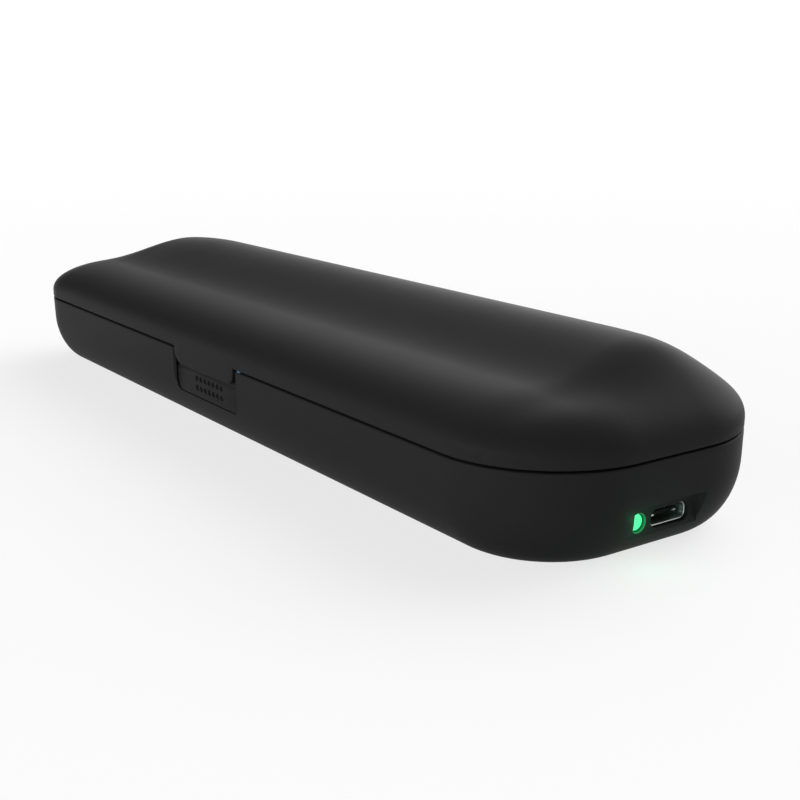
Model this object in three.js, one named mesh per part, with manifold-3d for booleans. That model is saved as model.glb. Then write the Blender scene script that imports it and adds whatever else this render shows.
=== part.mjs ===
// Charging travel case for an electric toothbrush.
// Millimetres. X runs along the case with the socket end at +X, the latch is at -Y and the hinges at +Y.
// The origin is the middle of the flat underside.

import * as THREE from "three";
import { mergeVertices } from "three/addons/utils/BufferGeometryUtils.js";
import Module from "manifold-3d";

const { MathUtils, Shape, Vector2, Vector3 } = THREE;

// Overall form
const caseLength = 225;
const caseWidth = 63.1;
const partingHeight = 18.6;
const partingGap = 0.4;
const nearCornerRadius = 23;
const farCornerRadius = 21.5;
const wallDraftShare = 0.0226;

// Base moulding
const baseWall = 2;
const baseFloor = 1.8;
const filletRun = 9.2;
const filletRise = 13;

// Lid moulding: a vertical lip, a rounded edge, a front shoulder and a hump along the rear
const lidWall = 1.7;
const lipRise = 1.7;
const shoulderHeight = 28;
const crestHeight = 34.1;
const rearHeight = 29.4;
const nearHeight = 30.5;
const humpFootInset = 17.35;
const humpCrestInset = 20.85;
const frontRounding = 16.8;
const rearRounding = 18;
const nearRounding = 27;
const farRounding = 22.8;
const roundingBlend = 12;
const roundingStop = 4;
const farFadeStart = 43;
const farFadeLength = 80;
const fadeStationShares = [0.35, 0.7, 1];
const nearFadeLength = 16.7;
const roundingPowerShare = 2.13;
const roundingLimitShare = 0.49;

// Clearances
const seatGap = 0.3;
const screwGap = 0.25;
const overrun = 5;

// Toothbrush handle and brush head bays
const handleRadius = 13.5;
const neckRadius = 8;
const handleInset = 19.15;
const handleEndInset = 24.5;
const neckEndInset = 12.5;
const handleShoulder = 22;
const neckLength = 16;
const headBayInset = 4.95;
const headBayHandleGap = 2.2;
const headBayRadius = 4;
const headBayNearInset = 27.5;
const headBayFarInset = 22.5;
const headBayDividerX = -6;

// Inner mouldings
const trayWall = 1.2;
const deckDrop = 1;
const rimRise = 0.9;
const linerWall = 1;
const linerGap = 0.35;
const linerRise = 0.4;
const ribThickness = 2;
const ribFarX = -34;
const ribNearX = 46;

// Hinges
const hingeStandoff = 1.1;
const knuckleRadius = 2;
const hingePinRadius = 0.8;
const hingePinGap = 0.15;
const lidKnuckleLength = 12;
const baseKnuckleLength = 7;
const hingeSpacing = 124;
const knuckleGap = 0.3;
const knuckleRoot = 1;
const gussetDrop = 5.2;

// Latch
const windowHalfWidth = 16.25;
const windowBottom = 8.1;
const windowRadius = 3;
const tongueSideGap = 1.7;
const tongueDrop = 3.85;
const tongueRadius = 3;
const tongueThickness = 1.2;
const buttonRecess = 1.55;
const buttonDrop = 3.1;
const buttonGap = 0.35;
const buttonTravel = 1.2;
const flangeOverlap = 1.1;
const flangeThickness = 1.2;
const flangeRise = 1.3;
const catchFlange = 1.2;
const catchFlangeRise = 0.5;
const barbHalfWidth = 9;
const barbReach = 0.9;
const barbRise = 0.75;
const barbGap = 0.1;
const noseRise = 0.8;
const dimplePitch = 2.1;
const dimpleRowPitch = 2.2;
const dimpleDrop = 0.35;
const dimpleRadius = 0.55;
const dimpleDepth = 0.4;
const dimpleCount = 7;

// Latch bracket and springs
const bracketWall = 1.2;
const springLength = 3.54;
const bracketDrop = 2.2;
const bracketFootDrop = 1.2;
const springX = 7;
const springRadius = 1.7;
const springWire = 0.45;
const springTurns = 3;
const pegRadius = 0.9;

// Socket end
const pocketDepth = 2.5;
const pocketTop = 10.65;
const pocketHalfWidth = 9.1;
const pocketFloorHalfWidth = 7;
const pocketWall = 1.8;
const portY = 1.9;
const portZ = 7.1;
const portWidth = 8.94;
const portHeight = 3.26;
const portRadius = 1.3;
const portMetal = 0.3;
const portLength = 7.35;
const portSetback = 0.35;
const portHoleGap = 0.12;
const portTongueWidth = 6.7;
const portTongueHeight = 0.7;
const portBlockLength = 2;
const portTongueSetback = 0.6;
const lampSpacing = 3.08;
const lampZ = 7.15;
const lampRadius = 1.5;
const lampHoleGap = 0.3;
const lampSetback = 1;
const lampFlangeRadius = 1.95;
const lampFlangeThickness = 1;
const lampDome = 0.3;

// Electronics
const boardThickness = 1;
const boardGap = 0.1;
const boardFarGap = 3.2;
const boardSideGap = 1.5;
const boardInset = 6.1;
const boardScrewInset = 7.1;
const boardScrewSide = 3.8;
const chipSize = 5;
const chipHeight = 0.9;
const chipGap = 0.2;
const ledLength = 1.5;
const ledWidth = 3;
const ledHeight = 2.6;
const postWall = 0.7;
const postLength = 11;
const postTipWall = 1.2;
const postFlangeRadius = 5.6;
const postFlangeThickness = 1.3;
const ferriteRadius = 1.45;
const coilGap = 0.25;
const coilThickness = 0.5;
const coilLength = 8;
const leadRadius = 0.35;
const leadSpacing = 3;
const housingRoom = 1.7;
const housingLength = 10;

// Screws
const screwShank = 0.95;
const screwHead = 2;
const smallScrewHead = 1.6;
const screwHeadHeight = 1.1;
const trayScrewLength = 9;
const bracketScrewLength = 3.4;
const boardScrewLength = 3;
const bossRadius = 2.8;
const smallBossRadius = 2.2;
const farScrewGap = 3.5;
const farScrewSide = 17.55;
const neckScrewInset = 16.5;

// Facet counts
const cornerSteps = 8;
const filletSteps = 6;
const sectionSteps = 26;
const turnSteps = 24;
const smallTurnSteps = 12;
const discSteps = 7;
const arcSteps = 3;
const dimpleSteps = 8;
const linerSteps = 18;

const halfLength = caseLength / 2;
const halfWidth = caseWidth / 2;
const lipTop = partingHeight + lipRise;
const baseTop = partingHeight - partingGap / 2;
const lidBottom = partingHeight + partingGap / 2;
const deckTop = partingHeight - deckDrop;
const deckBottom = deckTop - trayWall;
const humpFootY = -halfWidth + humpFootInset;
const humpCrestY = halfWidth - humpCrestInset;

// Handle, head bays and charging post
const handleY = halfWidth - handleInset;
const handleZ = baseFloor + seatGap + trayWall + handleRadius + seatGap;
const handleEndX = halfLength - handleEndInset;
const neckEndX = -halfLength + neckEndInset;
const headBayFrontY = -halfWidth + headBayInset;
const headBayRearY = handleY - handleRadius - headBayHandleGap;
const headBayNearX = halfLength - headBayNearInset;
const headBayFarX = -halfLength + headBayFarInset;
const coilRadius = ferriteRadius + seatGap + coilThickness;
const postBore = coilRadius + coilGap;
const postRadius = postBore + postWall;
const housingRadius = postFlangeRadius + housingRoom + trayWall;
const housingFarX = handleEndX + seatGap;

// Screws of the tray: two beside the housing, one past the far head bay and one beside the neck
const boardFarX = handleEndX + trayWall + boardFarGap;
const nearScrewX = boardFarX + bossRadius + seatGap;
const nearScrewY = handleY + housingRadius + bossRadius + seatGap;
const farScrewX = headBayFarX - trayWall - bossRadius - farScrewGap;
const neckScrewY = handleY + neckRadius + trayWall + bossRadius + seatGap;
const trayScrewPlaces = [
  [nearScrewX, -nearScrewY],
  [nearScrewX, nearScrewY],
  [farScrewX, -halfWidth + farScrewSide],
  [-halfLength + neckScrewInset, neckScrewY],
];

// Latch, from the wall's outer face inwards
const tongueHalfWidth = windowHalfWidth - tongueSideGap;
const tongueBottom = partingHeight - tongueDrop;
const buttonTop = partingHeight - buttonDrop;
const buttonBottom = windowBottom + buttonGap;
const flangeBottom = windowBottom + flangeRise;
const buttonFaceY = -halfWidth + buttonRecess;
const flangeFrontY = -halfWidth + baseInset(baseWall, baseFloor, flangeBottom) + seatGap;
const flangeBackY = flangeFrontY + flangeThickness;
const springZ = (buttonBottom + buttonTop) / 2;
const springRoom = springLength + seatGap * 2;
const pegLength = (springRoom - buttonTravel - seatGap) / 2;
const bracketInnerY = flangeBackY + springRoom;
const bracketBackY = bracketInnerY + bracketWall;
const bracketSide = windowHalfWidth + flangeOverlap + seatGap;
const bracketTop = partingHeight - bracketDrop;
const bracketFootTop = windowBottom - bracketFootDrop;
const bracketFootBottom = bracketFootTop - bracketWall;
const bracketScrewX = bracketSide - smallBossRadius * 2;
const bracketScrewY = bracketInnerY - smallScrewHead - seatGap;

// Socket pocket and circuit board
const pocketFloorX = halfLength - pocketDepth;
const pocketBackX = pocketFloorX - pocketWall;
const boardTop = portZ - portHeight / 2 - boardGap;
const boardBottom = boardTop - boardThickness;
const boardHalfWidth = nearScrewY - bossRadius - boardSideGap;
const boardScrewX = boardFarX + boardScrewInset;
const boardScrewY = boardHalfWidth - boardScrewSide;
const portNearX = pocketFloorX - portSetback;
const portFarX = portNearX - portLength;
const lampY = portY - portWidth / 2 - lampSpacing;
const lampBackX = pocketBackX - seatGap - lampFlangeThickness;
const chipX = portFarX - chipGap - chipSize / 2;

const wasm = await Module();
wasm.setup();

// Inset of the base's outer face (wall and floor 0) or inner face from the widest outline, at a height
function baseInset(wall, floor, height) {
  const lean = wallDraftShare * (partingHeight - height);
  const rise = Math.max(filletRise - height, 0) / (filletRise - floor);
  return filletRun - (filletRun - wall) * Math.sqrt(1 - rise ** 2) + lean;
}

// Solids and operations

function solidOf(geometry) {
  const bare = geometry.clone();
  bare.deleteAttribute("normal");
  bare.deleteAttribute("uv");
  const merged = mergeVertices(bare);
  const index = merged.index.array;
  const triangles = [];
  for (let first = 0; first < index.length; first += 3) {
    const [a, b, c] = index.slice(first, first + 3);
    if (a !== b && b !== c && c !== a) triangles.push(a, b, c);
  }
  return new wasm.Manifold(new wasm.Mesh({
    numProp: 3,
    vertProperties: new Float32Array(merged.attributes.position.array),
    triVerts: new Uint32Array(triangles),
  }));
}

function joined(...solids) {
  return solids.reduce((whole, solid) => whole.add(solid));
}

function cut(solid, ...tools) {
  return tools.reduce((rest, tool) => rest.subtract(tool), solid);
}

function indexedGeometry(points, triangles) {
  const geometry = new THREE.BufferGeometry();
  const positions = points.flatMap((point) => [point.x, point.y, point.z]);
  geometry.setAttribute("position", new THREE.Float32BufferAttribute(positions, 3));
  geometry.setIndex(triangles);
  return geometry;
}

// A stack of rings with equal counts, each counterclockwise from above, closed flat at both ends.
function stackedRings(rings) {
  const count = rings[0].length;
  const triangles = [];
  for (let level = 0; level + 1 < rings.length; level += 1) {
    for (let step = 0; step < count; step += 1) {
      const here = level * count + step;
      const next = level * count + ((step + 1) % count);
      triangles.push(here, next, next + count, here, next + count, here + count);
    }
  }
  const top = (rings.length - 1) * count;
  for (let step = 1; step + 1 < count; step += 1) {
    triangles.push(0, step + 1, step, top, top + step, top + step + 1);
  }
  return solidOf(indexedGeometry(rings.flat(), triangles));
}

// Extrusions of a flat outline along one axis, from a low to a high coordinate.
const axisX = new Vector3(1, 0, 0);
const axisY = new Vector3(0, 1, 0);
const axisZ = new Vector3(0, 0, 1);

function extruded(shape, length, steps) {
  return new THREE.ExtrudeGeometry(shape, { depth: length, bevelEnabled: false, curveSegments: steps });
}

function alongX(shape, low, high, steps = discSteps) {
  const turn = new THREE.Matrix4().makeBasis(axisY, axisZ, axisX);
  return solidOf(extruded(shape, high - low, steps).applyMatrix4(turn).translate(low, 0, 0));
}

function alongY(shape, low, high, steps = discSteps) {
  const turn = new THREE.Matrix4().makeBasis(axisX, axisZ, axisY.clone().negate());
  return solidOf(extruded(shape, high - low, steps).applyMatrix4(turn).translate(0, high, 0));
}

function alongZ(shape, low, high, steps = discSteps) {
  return solidOf(extruded(shape, high - low, steps).translate(0, 0, low));
}

function roundedRectangle(left, right, low, high, wanted) {
  const radius = Math.min(wanted, (right - left) * roundingLimitShare, (high - low) * roundingLimitShare);
  const shape = new Shape();
  shape.moveTo(left + radius, low);
  shape.lineTo(right - radius, low);
  shape.absarc(right - radius, low + radius, radius, -Math.PI / 2, 0);
  shape.lineTo(right, high - radius);
  shape.absarc(right - radius, high - radius, radius, 0, Math.PI / 2);
  shape.lineTo(left + radius, high);
  shape.absarc(left + radius, high - radius, radius, Math.PI / 2, Math.PI);
  shape.lineTo(left, low + radius);
  shape.absarc(left + radius, low + radius, radius, Math.PI, Math.PI * 3 / 2);
  return shape;
}

// Square corners above, rounded ones below.
function pocketOutline(half, low, high, wanted) {
  const radius = Math.min(wanted, half, (high - low) * roundingLimitShare * 2);
  const shape = new Shape();
  shape.moveTo(half, high);
  shape.lineTo(-half, high);
  shape.lineTo(-half, low + radius);
  shape.absarc(-half + radius, low + radius, radius, Math.PI, Math.PI * 3 / 2);
  shape.lineTo(half - radius, low);
  shape.absarc(half - radius, low + radius, radius, -Math.PI / 2, 0);
  return shape;
}

function polygon(...corners) {
  return new Shape(corners.map(([across, up]) => new Vector2(across, up)));
}

function rectangle(left, right, low, high) {
  return polygon([left, low], [right, low], [right, high], [left, high]);
}

function disc(across, up, radius) {
  const shape = new Shape();
  shape.absarc(across, up, radius, 0, Math.PI * 2);
  return shape;
}

function tube(radius, extrudePath, steps) {
  const options = { steps, curveSegments: arcSteps, bevelEnabled: false, extrudePath };
  return solidOf(new THREE.ExtrudeGeometry(disc(0, 0, radius), options));
}

function block(lowX, highX, lowY, highY, lowZ, highZ) {
  return alongZ(rectangle(lowX, highX, lowY, highY), lowZ, highZ);
}

// A profile of [radius, height] pairs turned about Z, then laid along X where asked.
function turned(profile, steps = turnSteps) {
  return new THREE.LatheGeometry(profile.map(([radius, height]) => new Vector2(radius, height)), steps);
}

function turnedAlongX(profile, y, z, steps = turnSteps) {
  const geometry = turned(profile, steps).rotateZ(-Math.PI / 2).translate(0, y, z);
  return solidOf(geometry);
}

function turnedUpright(profile, x, y, steps = smallTurnSteps) {
  return solidOf(turned(profile, steps).rotateX(Math.PI / 2).translate(x, y, 0));
}

function uprightRod(x, y, radius, low, high, steps = smallTurnSteps) {
  return turnedUpright([[0, low], [radius, low], [radius, high], [0, high]], x, y, steps);
}

// Outline of the case, drawn inwards by an inset

function outlineRing(inset, height) {
  const ring = [];
  const corners = [
    [1, -1, nearCornerRadius, -90], [1, 1, nearCornerRadius, 0],
    [-1, 1, farCornerRadius, 90], [-1, -1, farCornerRadius, 180],
  ];
  for (const [sideX, sideY, radius, start] of corners) {
    for (let step = 0; step <= cornerSteps; step += 1) {
      const angle = MathUtils.degToRad(start + 90 * step / cornerSteps);
      const x = sideX * (halfLength - radius) + (radius - inset) * Math.cos(angle);
      const y = sideY * (halfWidth - radius) + (radius - inset) * Math.sin(angle);
      ring.push(new Vector3(x, y, height));
    }
  }
  return ring;
}

function outlineSlab(inset, low, high) {
  return stackedRings([outlineRing(inset, low), outlineRing(inset, high)]);
}

function outlineInset(x, y) {
  const radius = x > 0 ? nearCornerRadius : farCornerRadius;
  const pastX = Math.abs(x) - (halfLength - radius);
  const pastY = Math.abs(y) - (halfWidth - radius);
  const outside = Math.hypot(Math.max(pastX, 0), Math.max(pastY, 0));
  return radius - outside - Math.min(Math.max(pastX, pastY), 0);
}

// Volume inside the base's outer faces (shift 0), or that much further in on walls and floor.
function baseCore(wall, floor, top) {
  const rings = [];
  for (let step = 0; step <= filletSteps; step += 1) {
    const angle = Math.PI / 2 * step / filletSteps;
    const height = filletRise - (filletRise - floor) * Math.cos(angle);
    rings.push(outlineRing(baseInset(wall, floor, height), height));
  }
  rings.push(outlineRing(wall, partingHeight));
  if (top > partingHeight) {
    rings.push(outlineRing(wall, top));
  }
  const whole = stackedRings(rings);
  if (top >= partingHeight) {
    return whole;
  }
  return cut(whole, outlineSlab(-overrun, top, partingHeight + overrun));
}

// Lid surface

function easedShare(value, start, end) {
  const share = MathUtils.clamp((value - start) / (end - start), 0, 1);
  return (1 - Math.cos(Math.PI * share)) / 2;
}

function lidCrown(x, y) {
  const rise = (crestHeight - shoulderHeight) * easedShare(y, humpFootY, humpCrestY);
  const fall = (crestHeight - rearHeight) * easedShare(y, humpCrestY, halfWidth);
  const farFade = easedShare(-x, halfLength - farFadeStart, halfLength - farFadeStart + farFadeLength);
  const nearFade = easedShare(x, halfLength - nearFadeLength, halfLength);
  const crown = shoulderHeight + (rise - fall) * (1 - farFade);
  return MathUtils.lerp(crown, nearHeight, nearFade);
}

function lidRounding(x, y) {
  const side = MathUtils.lerp(frontRounding, rearRounding, MathUtils.smootherstep(y, -halfWidth, halfWidth));
  const stop = halfLength - roundingStop;
  const nearStart = halfLength - nearCornerRadius - roundingBlend;
  const farStart = halfLength - farCornerRadius - roundingBlend;
  const nearSide = MathUtils.lerp(side, nearRounding, MathUtils.smootherstep(x, nearStart, stop));
  return MathUtils.lerp(nearSide, farRounding, MathUtils.smootherstep(-x, farStart, stop));
}

function lidHeight(x, y, shift) {
  const width = lidRounding(x, y) - shift;
  const share = MathUtils.clamp((outlineInset(x, y) - shift) / width, 0, 1);
  const power = roundingPowerShare;
  const roundedShare = (1 - (1 - share) ** power) ** (1 / power);
  return lipTop + (lidCrown(x, y) - shift - lipTop) * roundedShare;
}

// Stations along the case: the corner arcs in even angles, and a few between them.
function lidStations(shift) {
  const stations = [];
  for (let step = 0; step <= cornerSteps; step += 1) {
    const angle = Math.PI / 2 * step / cornerSteps;
    const radius = farCornerRadius - shift;
    stations.push([-halfLength + shift + radius * (1 - Math.cos(angle)), (1 - Math.sin(angle)) * radius]);
  }
  const fadeEnd = -halfLength + farFadeStart;
  const fadeTop = -halfLength + farCornerRadius;
  for (const share of fadeStationShares) {
    stations.push([MathUtils.lerp(fadeTop, fadeEnd, share), 0]);
  }
  stations.push([0, 0]);
  stations.push([halfLength - nearCornerRadius - roundingBlend, 0]);
  for (let step = cornerSteps; step >= 0; step -= 1) {
    const angle = Math.PI / 2 * step / cornerSteps;
    const radius = nearCornerRadius - shift;
    stations.push([halfLength - shift - radius * (1 - Math.cos(angle)), (1 - Math.sin(angle)) * radius]);
  }
  return stations;
}

// Volume under the lid's surface, lowered and drawn in by shift, down to a flat bottom.
function lidCore(shift, bottom, steps) {
  const stations = lidStations(shift);
  const points = [];
  for (const [x, narrowing] of stations) {
    for (let step = 0; step <= steps; step += 1) {
      const half = halfWidth - shift - narrowing;
      const y = half * Math.sin(Math.PI * (step / steps - 1 / 2));
      points.push(new Vector3(x, y, lidHeight(x, y, shift)));
    }
  }
  const width = steps + 1;
  const last = stations.length - 1;
  const triangles = [];
  for (let row = 0; row < last; row += 1) {
    for (let step = 0; step < steps; step += 1) {
      const here = row * width + step;
      triangles.push(here, here + width, here + width + 1, here, here + width + 1, here + 1);
    }
  }
  const edge = [];
  for (let row = 0; row < last; row += 1) edge.push(row * width);
  for (let step = 0; step < steps; step += 1) edge.push(last * width + step);
  for (let row = last; row > 0; row -= 1) edge.push(row * width + steps);
  for (let step = steps; step > 0; step -= 1) edge.push(step);
  const first = points.length;
  for (const index of edge) {
    const point = points[index];
    points.push(new Vector3(point.x, point.y, bottom));
  }
  edge.forEach((index, step) => {
    const after = (step + 1) % edge.length;
    triangles.push(first + step, first + after, edge[after], first + step, edge[after], index);
    if (step > 0 && after > 0) triangles.push(first, first + after, first + step);
  });
  return solidOf(indexedGeometry(points, triangles));
}

// Toothbrush handle with its running room, as a turned body along X

function handleProfile(grow) {
  const radius = handleRadius + grow;
  const neck = neckRadius + grow;
  const end = handleEndX + grow;
  const shoulder = neckEndX + neckLength;
  const body = shoulder + handleShoulder;
  const tip = neckEndX - grow;
  return [[0, tip], [neck, tip], [neck, shoulder], [radius, body], [radius, end], [0, end]];
}

function handleTrough(grow) {
  const outline = handleProfile(grow);
  const plan = new Shape(outline.map(([radius, x]) => new Vector2(x, handleY - radius)));
  for (const [radius, x] of [...outline].reverse()) {
    plan.lineTo(x, handleY + radius);
  }
  return joined(turnedAlongX(outline, handleY, handleZ), alongZ(plan, handleZ, lipTop));
}

// Hinges: two knuckles of the base hold the pin, and one knuckle of the lid turns between them

const hingeY = halfWidth + hingeStandoff;
const hingePlaces = [-hingeSpacing / 2, hingeSpacing / 2];
const lidKnuckleHalf = lidKnuckleLength / 2;
const baseKnuckleEnd = lidKnuckleHalf + knuckleGap + baseKnuckleLength;

function hingeRod(radius, low, high, steps = discSteps) {
  return alongX(disc(hingeY, partingHeight, radius), low, high, steps);
}

function knuckle(low, high, side) {
  const root = halfWidth - knuckleRoot;
  const edge = partingHeight + side * partingGap / 2;
  const tangent = knuckleRadius * Math.SQRT1_2;
  const crown = partingHeight + knuckleRadius;
  const corners = side < 0
    ? [[root, edge], [root, partingHeight - gussetDrop], [halfWidth, partingHeight - gussetDrop],
      [hingeY + tangent, partingHeight - tangent], [hingeY, edge]]
    : [[root, edge], [hingeY, edge], [hingeY, crown], [root, crown]];
  return joined(hingeRod(knuckleRadius, low, high), alongX(polygon(...corners), low, high));
}

function baseKnuckles() {
  const parts = [];
  for (const x of hingePlaces) {
    parts.push(knuckle(x - baseKnuckleEnd, x - lidKnuckleHalf - knuckleGap, -1));
    parts.push(knuckle(x + lidKnuckleHalf + knuckleGap, x + baseKnuckleEnd, -1));
  }
  return joined(...parts);
}

function lidKnuckles() {
  return joined(...hingePlaces.map((x) => knuckle(x - lidKnuckleHalf, x + lidKnuckleHalf, 1)));
}

function hingeBores() {
  const reach = baseKnuckleEnd + overrun;
  const radius = hingePinRadius + hingePinGap;
  return joined(...hingePlaces.map((x) => hingeRod(radius, x - reach, x + reach)));
}

function lidKnuckleRoom() {
  const radius = knuckleRadius + seatGap;
  const reach = lidKnuckleHalf + knuckleGap;
  return joined(...hingePlaces.map((x) => hingeRod(radius, x - reach, x + reach)));
}

function baseKnuckleRoom() {
  const radius = knuckleRadius + seatGap;
  const near = lidKnuckleHalf;
  const far = baseKnuckleEnd + knuckleGap;
  return joined(...hingePlaces.flatMap((x) => [
    hingeRod(radius, x - far, x - near),
    hingeRod(radius, x + near, x + far),
  ]));
}

function hingePin(x) {
  return hingeRod(hingePinRadius, x - baseKnuckleEnd, x + baseKnuckleEnd);
}

// Screws and bosses

function screw(x, y, seat, length, head) {
  const dish = screwHeadHeight / 2;
  return turnedUpright([
    [0, seat - length], [screwShank / 2, seat - length], [screwShank, seat - length + screwShank],
    [screwShank, seat], [head, seat], [head, seat + dish],
    [head - dish, seat + screwHeadHeight], [0, seat + screwHeadHeight],
  ], x, y);
}

function screwHole(x, y, low, high) {
  return uprightRod(x, y, screwShank + screwGap, low, high);
}

// Base

function socketPocket() {
  const mouth = halfLength + overrun;
  const flare = (pocketHalfWidth - pocketFloorHalfWidth) * (pocketDepth + overrun) / pocketDepth;
  const plan = polygon(
    [pocketFloorX, -pocketFloorHalfWidth], [mouth, -pocketFloorHalfWidth - flare],
    [mouth, pocketFloorHalfWidth + flare], [pocketFloorX, pocketFloorHalfWidth],
  );
  return alongZ(plan, -overrun, pocketTop);
}

function portOutline(grow) {
  const half = portWidth / 2 + grow;
  const rise = portHeight / 2 + grow;
  return roundedRectangle(portY - half, portY + half, portZ - rise, portZ + rise, portRadius + grow);
}

function latchWindow() {
  const outline = pocketOutline(windowHalfWidth, windowBottom, partingHeight + overrun, windowRadius);
  return alongY(outline, -halfWidth - overrun, -halfWidth + filletRun / 2, arcSteps);
}

function baseBosses() {
  const root = baseFloor / 2;
  const trayBossTop = deckBottom - seatGap;
  const boardBossTop = boardBottom - seatGap;
  const bracketBossTop = bracketFootBottom - seatGap;
  const parts = trayScrewPlaces.map(([x, y]) => uprightRod(x, y, bossRadius, root, trayBossTop));
  for (const side of [-1, 1]) {
    parts.push(uprightRod(boardScrewX, side * boardScrewY, smallBossRadius, root, boardBossTop));
    parts.push(uprightRod(side * bracketScrewX, bracketScrewY, smallBossRadius, root, bracketBossTop));
  }
  return joined(...parts);
}

function baseScrewHoles() {
  const trayHoleLow = deckTop - trayScrewLength - screwGap;
  const boardHoleLow = boardTop - boardScrewLength - screwGap;
  const bracketHoleLow = bracketFootTop - bracketScrewLength - screwGap;
  const parts = trayScrewPlaces.map(([x, y]) => screwHole(x, y, trayHoleLow, deckTop));
  for (const side of [-1, 1]) {
    parts.push(screwHole(boardScrewX, side * boardScrewY, boardHoleLow, deckTop));
    parts.push(screwHole(side * bracketScrewX, bracketScrewY, bracketHoleLow, deckTop));
  }
  return joined(...parts);
}

function makeBase() {
  const outer = baseCore(0, 0, baseTop);
  const cavity = baseCore(baseWall, baseFloor, partingHeight + overrun);
  const padTop = pocketTop + pocketWall;
  const padSide = pocketHalfWidth + pocketWall;
  const pad = block(pocketBackX, halfLength, -padSide, padSide, baseFloor / 2, padTop);
  const solid = joined(cut(outer, cavity), pad.intersect(outer), baseBosses().intersect(outer));
  const shell = cut(
    solid,
    socketPocket(),
    alongX(portOutline(portHoleGap), pocketBackX - overrun, halfLength + overrun, arcSteps),
    alongX(disc(lampY, lampZ, lampRadius + lampHoleGap), pocketBackX - overrun, halfLength + overrun),
    latchWindow(),
    baseScrewHoles(),
    lidKnuckleRoom(),
  );
  return cut(joined(shell, baseKnuckles()), hingeBores());
}

// Lid, with a notch in its front wall for the catch

const tongueInnerY = -halfWidth + tongueThickness;
const barbTipY = tongueInnerY + barbReach;
const barbBottom = buttonTop + buttonGap;
const barbTop = barbBottom + barbRise;
const noseTipY = barbTipY + barbGap;
const noseBottom = barbTop + buttonGap;
const noseTop = noseBottom + noseRise;
const catchFlangeFrontY = -halfWidth + lidWall + seatGap;
const catchFlangeBackY = catchFlangeFrontY + catchFlange;
const catchFlangeTop = lipTop + catchFlangeRise;
const catchFlangeHalf = windowHalfWidth - seatGap;

function makeLid() {
  const outer = lidCore(0, lidBottom, sectionSteps);
  const hollow = lidCore(lidWall, lidBottom - overrun, sectionSteps);
  const half = tongueHalfWidth + seatGap;
  const notch = block(-half, half, -halfWidth - overrun, catchFlangeFrontY, lidBottom - overrun, lipTop);
  const shell = cut(outer, hollow, baseKnuckleRoom(), notch);
  return cut(joined(shell, lidKnuckles()), hingeBores());
}

// Catch: a tongue flush with the lid's front wall, a flange behind that wall, and a barb

function makeCatch() {
  const tongue = pocketOutline(tongueHalfWidth, tongueBottom, lipTop - seatGap, tongueRadius);
  const flangeLow = noseTop + seatGap;
  const root = tongueInnerY - tongueThickness / 2;
  const barb = polygon(
    [root, barbBottom - barbGap], [tongueInnerY, barbBottom], [barbTipY, barbBottom + barbRise / 2],
    [barbTipY, barbTop], [root, barbTop],
  );
  return joined(
    alongY(tongue, -halfWidth, tongueInnerY, arcSteps),
    alongX(barb, -barbHalfWidth, barbHalfWidth),
    block(-tongueHalfWidth, tongueHalfWidth, root, catchFlangeBackY, flangeLow, lipTop - seatGap),
    block(-catchFlangeHalf, catchFlangeHalf, catchFlangeFrontY, catchFlangeBackY, flangeLow, catchFlangeTop),
  );
}

// Lid liner with its hold-down ribs

const linerOuterShift = lidWall + linerGap;
const linerInnerShift = linerOuterShift + linerWall;

function makeLiner() {
  const bottom = partingHeight + rimRise + linerRise;
  const outer = lidCore(linerOuterShift, bottom, linerSteps);
  const hollow = lidCore(linerInnerShift, bottom - overrun, linerSteps);
  const room = turnedAlongX(handleProfile(seatGap), handleY, handleZ);
  const inside = handleRadius + seatGap;
  const ribs = [ribFarX, ribNearX].map((x) => {
    const plate = block(
      x - ribThickness / 2, x + ribThickness / 2, handleY - inside, handleY + inside, lipTop, crestHeight,
    );
    return cut(plate.intersect(outer), room);
  });
  const catchHalf = catchFlangeHalf + seatGap;
  const catchRoom = block(
    -catchHalf, catchHalf, -halfWidth, catchFlangeBackY + seatGap, bottom - overrun, catchFlangeTop + seatGap,
  );
  const housingClearance = housing(housingRadius + seatGap, housingFarX - seatGap, deckTop);
  return cut(joined(cut(outer, hollow), ...ribs), catchRoom, housingClearance);
}

// Two trays side by side: the rear one holds the handle and the charging housing, the front one the heads

const latchRoomHalf = bracketSide + bracketWall + seatGap;
const latchRoomBack = bracketBackY + seatGap;
const traySplitY = (headBayRearY + handleY - handleRadius) / 2;

function headBays(grow, low) {
  const radius = headBayRadius + grow;
  const slim = latchRoomBack + trayWall * 2 - grow;
  const divider = trayWall / 2 - grow;
  const nearLow = headBayDividerX + divider;
  const farHigh = headBayDividerX - divider;
  const bay = (left, right, front) => alongZ(
    roundedRectangle(left, right, front, headBayRearY + grow, radius), low, deckTop + grow, arcSteps,
  );
  const front = headBayFrontY - grow;
  const side = latchRoomHalf + trayWall * 2 - grow;
  return joined(
    bay(nearLow, headBayNearX + grow, slim),
    bay(side, headBayNearX + grow, front),
    bay(headBayFarX - grow, farHigh, slim),
    bay(headBayFarX - grow, -side, front),
  );
}

function housing(radius, near, low) {
  const foot = Math.min(low, handleZ - seatGap);
  const outline = new Shape();
  outline.moveTo(handleY - radius, foot);
  outline.lineTo(handleY + radius, foot);
  outline.lineTo(handleY + radius, handleZ);
  outline.absarc(handleY, handleZ, radius, 0, Math.PI);
  return alongX(outline, near, housingFarX + housingLength + trayWall - (housingRadius - radius));
}

function postHole() {
  const radius = postRadius + seatGap;
  const low = handleEndX - overrun;
  const high = handleEndX + overrun;
  const profile = [[0, low], [radius, low], [radius, high], [0, high]];
  return turnedAlongX(profile, handleY, handleZ, smallTurnSteps);
}

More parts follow.
